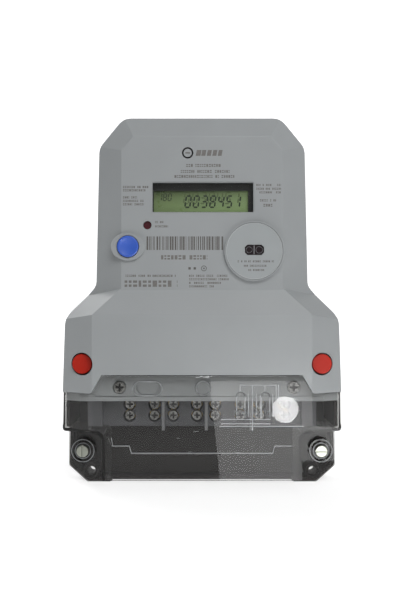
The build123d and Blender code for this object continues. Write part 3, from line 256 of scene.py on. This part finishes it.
DARK_WINDOW = plastic("port_dark", (0.012, 0.006, 0.008), rough=(0.12, 0.2), mottle=0.1, coat=0.6)
LCD = reflective_display("lcd_green", (0.168, 0.228, 0.098), (0.28, 0.39, 0.17))
RUBBER = plastic("seal_rubber", (0.02, 0.02, 0.02), rough=(0.7, 0.85), grain=600.0, depth=0.00006)
GREY_RUBBER = plastic("contact_rubber", (0.12, 0.12, 0.13), rough=(0.7, 0.85), grain=900.0)
CHIP = plastic("chip_black", (0.01, 0.01, 0.01), rough=(0.5, 0.7), grain=2400.0)
SLEEVE = plastic("battery_sleeve", (0.5, 0.5, 0.46), rough=(0.25, 0.35), mottle=0.08)
CAN = plastic("can_dark", (0.02, 0.025, 0.05), rough=(0.2, 0.3))
YELLOW = plastic("capacitor_yellow", (0.55, 0.33, 0.03), rough=(0.3, 0.45), mottle=0.08)
VARISTOR = plastic("varistor_blue", (0.02, 0.08, 0.28), rough=(0.35, 0.5), grain=500.0, depth=0.0001)
COIL = plastic("coil_tape", (0.03, 0.05, 0.16), rough=(0.3, 0.45), grain=300.0, depth=0.0001)
ZINC = metal("zinc_steel", (0.55, 0.55, 0.53))
# a darker copy of the zinc, for the shelf and terminal screws
DARK_ZINC = metal("darker_zinc", (0.30, 0.30, 0.29), rough=(0.2, 0.35), scratches=500.0)
BRIGHT = metal("bright_steel", (0.75, 0.74, 0.70), rough=(0.15, 0.3))
SEALED = metal("sealing_steel", (0.30, 0.31, 0.27), rough=(0.25, 0.4))
BRASS = metal("brass", (0.60, 0.43, 0.18))
COPPER = metal("copper", (0.68, 0.34, 0.20))
BOARD = circuit_board("board_green")
COVER = clear("cover_clear", (0.80, 0.80, 0.79), rough=(0.005, 0.02), ior=1.3)
WINDOW = clear("window_clear", (0.90, 0.92, 0.90), rough=(0.01, 0.03), ior=1.25)
# frosted plastic for the moulded lines, and painted highlight rings on the sealing bosses
FROST_AND_HIGHLIGHT = frosted("cover_frosted_and_painted_highlight", (0.62, 0.64, 0.66))
EMITTER = clear("emitter_clear", (0.9, 0.82, 0.82), rough=(0.05, 0.1))
PRINT = ink("print_grey", (0.06, 0.056, 0.052))
MARK = ink("mark_grey", (0.10, 0.095, 0.09))
LCD_INK = ink("lcd_dark", (0.012, 0.02, 0.012))
LCD_SHADOW = ink("lcd_shadow", (0.085, 0.115, 0.05))
SCUFF = ink("scuff_white", (0.55, 0.56, 0.57))
# a painted highlight for the port plate's rounded edge
PAINTED_HIGHLIGHT_GREY = plastic("painted_highlight_grey", (0.52, 0.53, 0.54), rough=(0.4, 0.5), mottle=0.1)
# a pale grey for the lamp rims in the optical port, and painted light on the fronts of the barrier ribs
RIM_GREY_AND_PAINTED_LIGHT = plastic("rim_grey_and_painted_light", (0.16, 0.163, 0.17), rough=(0.5, 0.7), grain=1200.0, mottle=0.2)
# painted shade for the floors of the driver recesses in the screw heads
RECESS_SHADE = ink("recess_painted_shade", (0.006, 0.006, 0.006))

FINISHES = {
    "front_cover": CASE, "port_plate": PORT, "rear_base": BASE, "terminal_block": BLOCK,
    "scroll_button": BLUE, "seal_plug_left": RED, "seal_plug_right": RED, "display_frame": BLACK,
    "switch_body": BLACK, "switch_plunger": BLACK, "pulse_lens": LENS, "port_window": DARK_WINDOW,
    "display_glass": LCD, "case_gasket": RUBBER, "display_contacts": GREY_RUBBER, "metering_chip": CHIP,
    "processor_chip": CHIP, "memory_chip": CHIP, "backup_battery": SLEEVE, "bulk_capacitor": CAN,
    "supply_capacitors": YELLOW, "varistors": VARISTOR, "current_transformer_l1": COIL,
    "current_transformer_l2": COIL, "current_transformer_l3": COIL, "hanger_plate": ZINC,
    "case_screws": ZINC, "shelf_screws": DARK_ZINC, "board_screws": ZINC, "terminal_screws": DARK_ZINC,
    "clock_crystal": BRIGHT, "sealing_screw_left": SEALED, "sealing_screw_right": SEALED,
    "terminal_clamps": BRASS, "voltage_pins": BRASS, "current_bar_l1": COPPER, "current_bar_l2": COPPER,
    "current_bar_l3": COPPER, "neutral_bar": COPPER, "main_board": BOARD, "terminal_cover": COVER,
    "display_window": WINDOW, "pulse_emitter": EMITTER, "port_emitters": EMITTER,
}


def finish_cad_nodes():
    """Give every node of the frame its own finish."""
    for name, node in NODES.items():
        slots = node.data.materials
        if len(slots) == 0:
            slots.append(FINISHES[name])
        for index in range(len(slots)):
            slots[index] = FINISHES[name]


# ---- mesh helpers ----
def mesh_object(name, mesh_builder, material, body):
    """Turn a bmesh into a named object that rides on a body and has a slot of the record's."""
    mesh = bpy.data.meshes.new(name)
    mesh_builder.to_mesh(mesh)
    mesh_builder.free()
    thing = bpy.data.objects.new(name, mesh)
    bpy.context.scene.collection.objects.link(thing)
    thing.data.materials.append(material)
    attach(thing, body)


def add_prism(builder, outline, front_y, thickness):
    """A closed prism from an (x, z) outline: its front at front_y, its back the thickness behind."""
    front = [builder.verts.new((x, front_y, z)) for x, z in outline]
    back = [builder.verts.new((x, front_y + thickness, z)) for x, z in outline]
    builder.faces.new(front)
    builder.faces.new(list(reversed(back)))
    count = len(outline)
    for i in range(count):
        j = (i + 1) % count
        builder.faces.new((front[j], front[i], back[i], back[j]))


def rectangle(x, z, width, height):
    return [
        (x - width / 2, z - height / 2), (x + width / 2, z - height / 2),
        (x + width / 2, z + height / 2), (x - width / 2, z + height / 2),
    ]


def add_stroke(builder, points, width, front_y, thickness):
    """A line of short prisms through (x, z) points."""
    for (x0, z0), (x1, z1) in zip(points, points[1:]):
        direction = Vector((x1 - x0, z1 - z0)).normalized()
        across = Vector((-direction.y, direction.x)) * width / 2
        along = direction * width / 2
        start = Vector((x0, z0)) - along
        end = Vector((x1, z1)) + along
        outline = [start - across, end - across, end + across, start + across]
        add_prism(builder, [(p.x, p.y) for p in outline], front_y, thickness)


def arc(x, z, radius, start, end, steps=12):
    """Points along an arc about (x, z), from a start angle to an end angle in degrees."""
    points = []
    for i in range(steps + 1):
        angle = math.radians(start + (end - start) * i / steps)
        points.append((x + radius * math.cos(angle), z + radius * math.sin(angle)))
    return points


def tidy_normals(builder):
    bmesh.ops.recalc_face_normals(builder, faces=builder.faces)


# ---- print on the front ----
PRINT_Y = FACE_Y - TINY


def add_print_line(builder, random_source, x_low, x_high, z, height, front_y):
    """A row of plain blocks and double dashes that stands for a line of print and forms no letters."""
    x = x_low
    while x < x_high:
        width = height * random_source.uniform(0.35, 0.7)
        right = min(x + width, x_high)
        centre = (x + right) / 2
        kind = random_source.random()
        if 0.15 < kind < 0.6:
            add_prism(builder, rectangle(centre, z, right - x, 0.9 * height), front_y, TINY)
        elif kind >= 0.6:
            for side in (-1, 1):
                dash_z = z + side * 0.29 * height
                add_prism(builder, rectangle(centre, dash_z, right - x, 0.34 * height), front_y, TINY)
        x = right + 0.22 * height


# Each line of print: left, right, height above the fixing holes and height of the print, in millimetres.
PRINT_LINES = (
    (-26.0, 3.4, 142.6, 3.0),
    (-49.2, -15.6, 125.9, 4.4),
    (-10.0, 12.0, 201.0, 2.0),
    (-13.5, 17.5, 197.2, 1.9),
    (-17.5, 20.5, 194.0, 1.9),
    (-50.2, -34.0, 187.3, 1.5),
    (-50.2, -36.0, 185.2, 1.5),
    (-50.2, -41.0, 180.7, 1.4),
    (-50.2, -37.0, 178.5, 1.4),
    (-50.2, -37.0, 176.3, 1.4),
    (34.5, 50.2, 188.6, 1.4),
    (34.5, 50.2, 186.2, 1.4),
    (36.5, 50.2, 183.9, 1.4),
    (36.8, 47.0, 178.8, 1.5),
    (39.0, 45.5, 175.7, 1.9),
    (-29.8, -24.5, 165.0, 1.4),
    (-29.8, -21.5, 162.3, 1.4),
    (-48.6, -16.5, 130.9, 1.5),
    (-8.2, 16.2, 130.9, 1.4),
    (-8.2, 17.0, 128.7, 1.4),
    (-8.2, 12.0, 126.4, 1.4),
    (-8.2, 7.5, 124.2, 1.4),
)


def make_front_print():
    builder = bmesh.new()
    source = random.Random(41)
    for x_low, x_high, z, height in PRINT_LINES:
        add_print_line(builder, source, x_low * MM, x_high * MM, z * MM, height * MM, PRINT_Y)
    tidy_normals(builder)
    mesh_object("front_print", builder, MARK, "case")


MARK_CENTRE = (-9.1 * MM, 209.0 * MM)  # X and Z
MARK_BLOCK_WIDTHS = (3.0, 2.6, 2.6, 2.6, 2.4)
MARK_BLOCKS_Z = (207.1 * MM, 210.8 * MM)


def make_word_mark():
    """A plain ring and a row of slanted blocks where the case carries a name."""
    builder = bmesh.new()
    add_stroke(builder, arc(*MARK_CENTRE, 3.1 * MM, 0, 360, 28), 0.9 * MM, PRINT_Y, TINY)
    add_prism(builder, rectangle(*MARK_CENTRE, 3.0 * MM, 0.9 * MM), PRINT_Y, TINY)
    foot_z, head_z = MARK_BLOCKS_Z
    lean = 0.7 * MM
    for index, width in enumerate(MARK_BLOCK_WIDTHS):
        left = (-4.0 + 3.5 * index) * MM
        right = left + width * MM
        outline = [(left, foot_z), (right, foot_z), (right + lean, head_z), (left + lean, head_z)]
        add_prism(builder, outline, PRINT_Y, TINY)
    tidy_normals(builder)
    mesh_object("name_blocks", builder, MARK, "case")


BARS_X = (-35.2 * MM, 12.4 * MM)
BARS_Z = 151.6 * MM
BARS_HEIGHT = 8.6 * MM


def make_bar_code():
    """A pattern of bars that encodes nothing, and under it two small squares and a ring round a dot."""
    builder = bmesh.new()
    source = random.Random(17)
    x = BARS_X[0]
    while x < BARS_X[1]:
        width = source.choice((0.35, 0.35, 0.7, 1.05)) * MM
        add_prism(builder, rectangle(x + width / 2, BARS_Z, width, BARS_HEIGHT), PRINT_Y, TINY)
        x += width + source.choice((0.35, 0.7, 0.7, 1.05)) * MM
    for x in (-7.9, -4.6):
        add_prism(builder, rectangle(x * MM, 135.6 * MM, 1.5 * MM, 1.5 * MM), PRINT_Y, TINY)
    add_stroke(builder, arc(1.2 * MM, 135.6 * MM, 1.6 * MM, 0, 360, 16), 0.35 * MM, PRINT_Y, TINY)
    add_prism(builder, rectangle(1.2 * MM, 135.6 * MM, 0.9 * MM, 0.9 * MM), PRINT_Y, TINY)
    tidy_normals(builder)
    mesh_object("bar_pattern", builder, PRINT, "case")


# ---- seven-segment digits ----
SEGMENTS = {
    "a": ((0.04, 1.0), (0.96, 1.0)), "b": ((1.0, 0.97), (1.0, 0.53)), "c": ((1.0, 0.47), (1.0, 0.03)),
    "d": ((0.04, 0.0), (0.96, 0.0)), "e": ((0.0, 0.03), (0.0, 0.47)), "f": ((0.0, 0.53), (0.0, 0.97)),
    "g": ((0.04, 0.5), (0.96, 0.5)),
}
DIGITS = {
    "0": "abcdef", "1": "bc", "2": "abged", "3": "abgcd", "4": "fgbc", "5": "afgcd", "6": "afgedc",
    "7": "abc", "8": "abcdefg", "9": "abfgcd",
}


def add_segment(builder, start, end, pen, front_y):
    """A bar with pointed ends between two (x, z) points."""
    direction = Vector((end[0] - start[0], end[1] - start[1]))
    length = direction.length
    direction.normalize()
    across = Vector((-direction.y, direction.x)) * pen / 2
    middle_point = Vector(((start[0] + end[0]) / 2, (start[1] + end[1]) / 2))
    half = direction * length / 2
    shoulder = direction * (length / 2 - pen / 2)
    outline = [
        middle_point + half, middle_point + shoulder + across, middle_point - shoulder + across,
        middle_point - half, middle_point - shoulder - across, middle_point + shoulder - across,
    ]
    add_prism(builder, [(p.x, p.y) for p in outline], front_y, TINY)


def add_digit(builder, digit, x, z, width, height, pen, front_y, slant=0.14):
    for segment in DIGITS[digit]:
        ends = []
        for across, up in SEGMENTS[segment]:
            ends.append((x + across * width + up * height * slant, z + up * height))
        add_segment(builder, ends[0], ends[1], pen, front_y)


DIGIT_ROWS = (
    # digits, first X, step, foot Z, width, height and pen, in millimetres
    ("0038451", -11.0, 5.3, 175.2, 3.1, 7.2, 1.05),
    ("180", -28.2, 3.1, 179.4, 1.9, 4.4, 0.55),
)


def make_display_digits(name, ink_material, shift_x, shift_z, front_y):
    """The reading and a small code beside it, moved by a shift in millimetres."""
    builder = bmesh.new()
    for digits, first_x, step, foot_z, width, height, pen in DIGIT_ROWS:
        for index, digit in enumerate(digits):
            x = (first_x + step * index + shift_x) * MM
            z = (foot_z + shift_z) * MM
            add_digit(builder, digit, x, z, width * MM, height * MM, pen * MM, front_y)
    tidy_normals(builder)
    mesh_object(name, builder, ink_material, "case")


# ---- print on the optical port ----
PORT_LINES = ((22.5, 45.5, 140.0, 1.3), (26.5, 41.0, 137.2, 1.3), (28.5, 39.5, 134.5, 1.3))
PORT_LAMPS = ((29.9, 1.9), (36.3, 2.1))  # X and radius in millimetres
PORT_WINDOW_Z = 147.3 * MM


def make_port_print():
    builder = bmesh.new()
    source = random.Random(23)
    plate_y = corner_low("port_plate").y - TINY
    for x_low, x_high, z, height in PORT_LINES:
        add_print_line(builder, source, x_low * MM, x_high * MM, z * MM, height * MM, plate_y)
    tidy_normals(builder)
    mesh_object("port_print", builder, MARK, "case")


# ---- painted shade in the driver recesses of the screw heads ----
def add_cross(builder, x, z, reach, half_width, front_y):
    """The floor of a cross-shaped driver recess, as one bar and two short ones, drawn as painted shade."""
    add_prism(builder, rectangle(x, z, 2 * reach, 2 * half_width), front_y, TINY)
    for side in (-1, 1):
        offset = side * (reach + half_width) / 2
        add_prism(builder, rectangle(x, z + offset, 2 * half_width, reach - half_width), front_y, TINY)


def make_screw_recess_shade():
    # dark crosses on the recess floors: painted shade where the recesses fall into shade
    builder = bmesh.new()
    for x, z in SHELF_SCREWS:
        add_cross(builder, x * MM, z * MM, 2.58 * MM, 0.71 * MM, SHELF_RECESS_Y)
    for x, z in TERMINAL_SCREWS:
        add_cross(builder, x * MM, z * MM, 2.08 * MM, 0.57 * MM, TERMINAL_RECESS_Y)
    tidy_normals(builder)
    mesh_object("screw_recess_painted_shade", builder, RECESS_SHADE, "case")


# ---- painted light on the fronts of the barrier ribs, a painted highlight on the port plate's edge, and the rings of the optical port ----
def make_rib_painted_light():
    # pale strips on the rib fronts: painted light, the ribs lit in front of the shaded block
    builder = bmesh.new()
    for x in RIBS_X:
        add_prism(builder, rectangle(x * MM, 42.1 * MM, 1.7 * MM, 18.2 * MM), RIB_Y - TINY, TINY)
    tidy_normals(builder)
    mesh_object("rib_front_painted_light", builder, RIM_GREY_AND_PAINTED_LIGHT, "case")


def make_port_edge_highlight():
    """A painted highlight along the port plate's rounded edge."""
    builder = bmesh.new()
    low = corner_low("port_plate")
    centre = middle("port_plate")
    radius = centre.x - low.x - 0.5 * MM
    add_stroke(builder, arc(centre.x, centre.z, radius, 0, 360, 72), 0.22 * MM, low.y - TINY, TINY)
    tidy_normals(builder)
    mesh_object("port_edge_painted_highlight", builder, PAINTED_HIGHLIGHT_GREY, "case")


def make_port_rings():
    """The rims of the two lamps behind the optical window, and the bar between them."""
    builder = bmesh.new()
    window_y = corner_low("port_window").y - TINY
    for x, radius in PORT_LAMPS:
        rim = arc(x * MM, PORT_WINDOW_Z, radius * MM, 0, 360, 20)
        add_stroke(builder, rim, 0.35 * MM, window_y, TINY)
    add_prism(builder, rectangle(33.0 * MM, PORT_WINDOW_Z, 0.5 * MM, 5.6 * MM), window_y, TINY)
    tidy_normals(builder)
    mesh_object("port_lamp_rings", builder, RIM_GREY_AND_PAINTED_LIGHT, "case")


# ---- moulded marks, painted highlight rings and scuffs on the clear cover ----
def moulded_lines():
    """Two outlines and a wiring diagram moulded into the clear cover, as lists of (x, z) in millimetres."""
    stadium = arc(-38.6, 60.2, 4.4, 90, 270) + arc(-29.4, 60.2, 4.4, -90, 90)
    lines = [
        stadium + stadium[:1],
        arc(0.6, 60.4, 4.4, 0, 360, 24),
        [(11.2, 36.8), (63.0, 36.8)],
        [(12.1, 41.1), (42.3, 41.1)],
        [(12.1, 38.4), (42.3, 38.4)],
        [(23.8, 62.4), (46.2, 62.4)],
        [(31.5, 62.4), (31.5, 34.5)],
        [(39.1, 62.4), (39.1, 57.0)],
        [(23.8, 62.4), (23.8, 57.8)],
        [(46.2, 62.4), (46.2, 54.0)],
        [(47.6, 62.4), (47.6, 54.0)],
    ]
    for x in (24.2, 39.6):
        lines.append(arc(x, 55.4, 2.6, 0, 180))
        lines.append([(x - 2.6, 55.4), (x - 2.6, 42.5)])
        lines.append([(x + 2.6, 55.4), (x + 2.6, 42.5)])
    for x in (28.9, 33.9, 36.3, 44.0):
        lines.append([(x, 56.5), (x, 43.0)])
    for x in (21.6, 26.8, 33.9, 41.9):
        lines.append(arc(x, 44.6, 1.3, 0, 360))
    return lines


MOULDED_RELIEF = 0.2 * MM
MOULDED_WIDTH = 0.55
BREAK_LINE_WIDTH = 0.25
BREAK_LINE = (
    (-56.5, 29.4), (-55.6, 24.6), (-45.3, 24.6), (-44.0, 20.1), (44.0, 20.1), (45.3, 24.6), (55.6, 24.6),
)


def make_cover_marks():
    builder = bmesh.new()
    marks = [(points, MOULDED_WIDTH) for points in moulded_lines()] + [(BREAK_LINE, BREAK_LINE_WIDTH)]
    for points, width in marks:
        scaled_points = [(x * MM, z * MM) for x, z in points]
        add_stroke(builder, scaled_points, width * MM, COVER_FRONT_Y - MOULDED_RELIEF, MOULDED_RELIEF)
    tidy_normals(builder)
    mesh_object("cover_moulded_lines", builder, FROST_AND_HIGHLIGHT, "cover")


BOSS_RELIEF = 0.1 * MM
BOSS_HIGHLIGHT_RINGS = ((5.1, 0.5), (7.4, 0.4))  # radius and width in millimetres


def make_boss_ring_painted_highlights():
    """Pale frosted rings on each sealing boss: a painted highlight where the clear plastic is thickest and
    catches the light.
    """
    builder = bmesh.new()
    for node in ("sealing_screw_left", "sealing_screw_right"):
        centre = middle(node)
        for radius, width in BOSS_HIGHLIGHT_RINGS:
            ring = arc(centre.x, centre.z, radius * MM, 0, 360, 28)
            add_stroke(builder, ring, width * MM, BOSS_Y - BOSS_RELIEF, BOSS_RELIEF)
    tidy_normals(builder)
    mesh_object("boss_ring_painted_highlights", builder, FROST_AND_HIGHLIGHT, "cover")


def make_cover_scuffs():
    """Bright scratches where the clear cover has been prised off at its top, and a few thin ones lower."""
    builder = bmesh.new()
    source = random.Random(5)
    for _ in range(9):
        x = source.uniform(-4.0, 6.0) * MM
        z = source.uniform(67.2, 68.0) * MM
        lean = source.uniform(-0.3, 0.5) * MM
        length = source.uniform(0.6, 1.8) * MM
        add_stroke(builder, [(x, z), (x + length, z + lean)], 0.3 * MM, COVER_FRONT_Y - TINY, TINY)
    for _ in range(6):
        x = source.uniform(-16.0, 36.0) * MM
        z = source.uniform(20.0, 34.0) * MM
        length = source.uniform(1.0, 4.0) * MM
        lean = length * source.uniform(-0.2, 0.2)
        add_stroke(builder, [(x, z), (x + length, z + lean)], 0.08 * MM, COVER_FRONT_Y - TINY, TINY)
    tidy_normals(builder)
    mesh_object("cover_scuffs", builder, SCUFF, "cover")


# ---- stage, light and camera ----
def sweep_white():
    """Matt white that glows more from the front of the floor to the backdrop."""
    shader = Shader("sweep_white")
    shader.main.inputs["Base Color"].default_value = (0.55, 0.55, 0.55, 1.0)
    shader.main.inputs["Roughness"].default_value = 0.9
    shader.main.inputs["Specular IOR Level"].default_value = 0.1
    shader.main.inputs["Emission Strength"].default_value = 1.0
    axes = shader.add("ShaderNodeSeparateXYZ")
    shader.join(shader.place, axes.inputs["Vector"])
    along = shader.add("ShaderNodeMapRange")
    along.inputs["From Min"].default_value = -0.6
    along.inputs["From Max"].default_value = 1.4
    shader.join(axes.outputs["Y"], along.inputs["Value"])
    stops = [(0.0, BLACK_LEVEL), (0.2, FLOOR_GLOW), (1.0, BACKDROP_GLOW)]
    glow = shader.ramp(along.outputs["Result"], stops)
    shader.join(glow, shader.main.inputs["Emission Color"])
    return shader.material


def make_stage():
    """A pale floor that curves up into a glowing white backdrop well behind the meter."""
    floor_z = corner_low("rear_base").z - 0.2 * MM
    half_width = 4.0
    front_y = -4.0
    bend_y = 1.6
    bend_radius = 0.8
    top_z = 3.2
    profile = [(front_y, floor_z), (bend_y, floor_z)]
    for step in range(1, 13):
        angle = step / 12 * math.pi / 2
        rise = bend_radius * (1 - math.cos(angle))
        profile.append((bend_y + bend_radius * math.sin(angle), floor_z + rise))
    profile.append((bend_y + bend_radius, top_z))
    builder = bmesh.new()
    left = [builder.verts.new((-half_width, y, z)) for y, z in profile]
    right = [builder.verts.new((half_width, y, z)) for y, z in profile]
    for i in range(len(profile) - 1):
        face = builder.faces.new((left[i], right[i], right[i + 1], left[i + 1]))
        face.smooth = True
    mesh = bpy.data.meshes.new("sweep")
    builder.to_mesh(mesh)
    builder.free()
    sweep = bpy.data.objects.new("sweep", mesh)
    bpy.context.scene.collection.objects.link(sweep)
    sweep.data.materials.append(sweep_white())


def add_area_light(name, place, target, size, power, shape="RECTANGLE"):
    """A soft lamp aimed at a target, which neither the camera nor the clear parts show directly."""
    data = bpy.data.lights.new(name, "AREA")
    data.shape = shape
    data.size, data.size_y = size
    data.energy = power
    light = bpy.data.objects.new(name, data)
    bpy.context.scene.collection.objects.link(light)
    light.location = place
    light.visible_camera = False
    light.visible_transmission = False
    light.rotation_euler = (Vector(target) - Vector(place)).to_track_quat("-Z", "Y").to_euler()
    return light


LAMPS = (
    # name, place, target, size and watts
    ("key", (0.5, -1.15, 1.1), (0.0, -0.03, 0.12), (0.9, 0.7), 12.8),
    ("gleam", (0.05, -0.40, 0.66), (0.0, -0.05, 0.115), (0.45, 0.12), 0.55),
    ("shoulder", (-0.55, 0.35, 1.0), (-0.08, 0.0, 0.1), (0.4, 0.4), 3.4),
)
REFLECTED_LAMPS = (
    # name, place, target, size, watts and shape
    ("bounce", (0.1535, -0.385, -0.004), (0.1535, -0.385, 1.0), (0.283, 0.62), 2.9, "RECTANGLE"),
    ("flash", (0.0741, -0.2515, 0.0185), (0.0517, -0.057, 0.0472), (0.0235, 0.0235), 0.045, "DISK"),
)


def make_lights():
    """Three lamps that light the meter, and two that only show as reflections in the clear cover."""
    world = bpy.data.worlds.new("studio")
    world.use_nodes = True
    background = world.node_tree.nodes["Background"]
    background.inputs["Color"].default_value = (1.0, 1.0, 1.0, 1.0)
    background.inputs["Strength"].default_value = WORLD_STRENGTH
    bpy.context.scene.world = world
    for lamp in LAMPS:
        add_area_light(*lamp)
    for lamp in REFLECTED_LAMPS:
        add_area_light(*lamp).visible_diffuse = False


CAMERA_PLACE = (-0.00096, -0.520, 0.1152)
CAMERA_LENS = 29.67
SENSOR_HEIGHT = 24.0


def make_camera():
    """A camera level with the middle of the meter, half a metre in front of it."""
    data = bpy.data.cameras.new("camera")
    data.sensor_fit = "VERTICAL"
    data.sensor_height = SENSOR_HEIGHT
    data.lens = CAMERA_LENS
    data.clip_start = 0.01
    camera = bpy.data.objects.new("camera", data)
    bpy.context.scene.collection.objects.link(camera)
    camera.location = CAMERA_PLACE
    camera.rotation_euler = (math.pi / 2, 0.0, 0.0)
    bpy.context.scene.camera = camera


bpy.context.scene.view_settings.view_transform = "Standard"
finish_cad_nodes()
make_front_print()
make_word_mark()
make_bar_code()
make_display_digits("display_digits", LCD_INK, 0.0, 0.0, GLASS_Y - 2 * TINY)
make_display_digits("display_digit_shadows", LCD_SHADOW, *SHADOW_SHIFT, GLASS_Y - TINY)
make_port_print()
make_screw_recess_shade()
make_rib_painted_light()
make_port_edge_highlight()
make_port_rings()
make_cover_marks()
make_boss_ring_painted_highlights()
make_cover_scuffs()
make_stage()
make_lights()
make_camera()
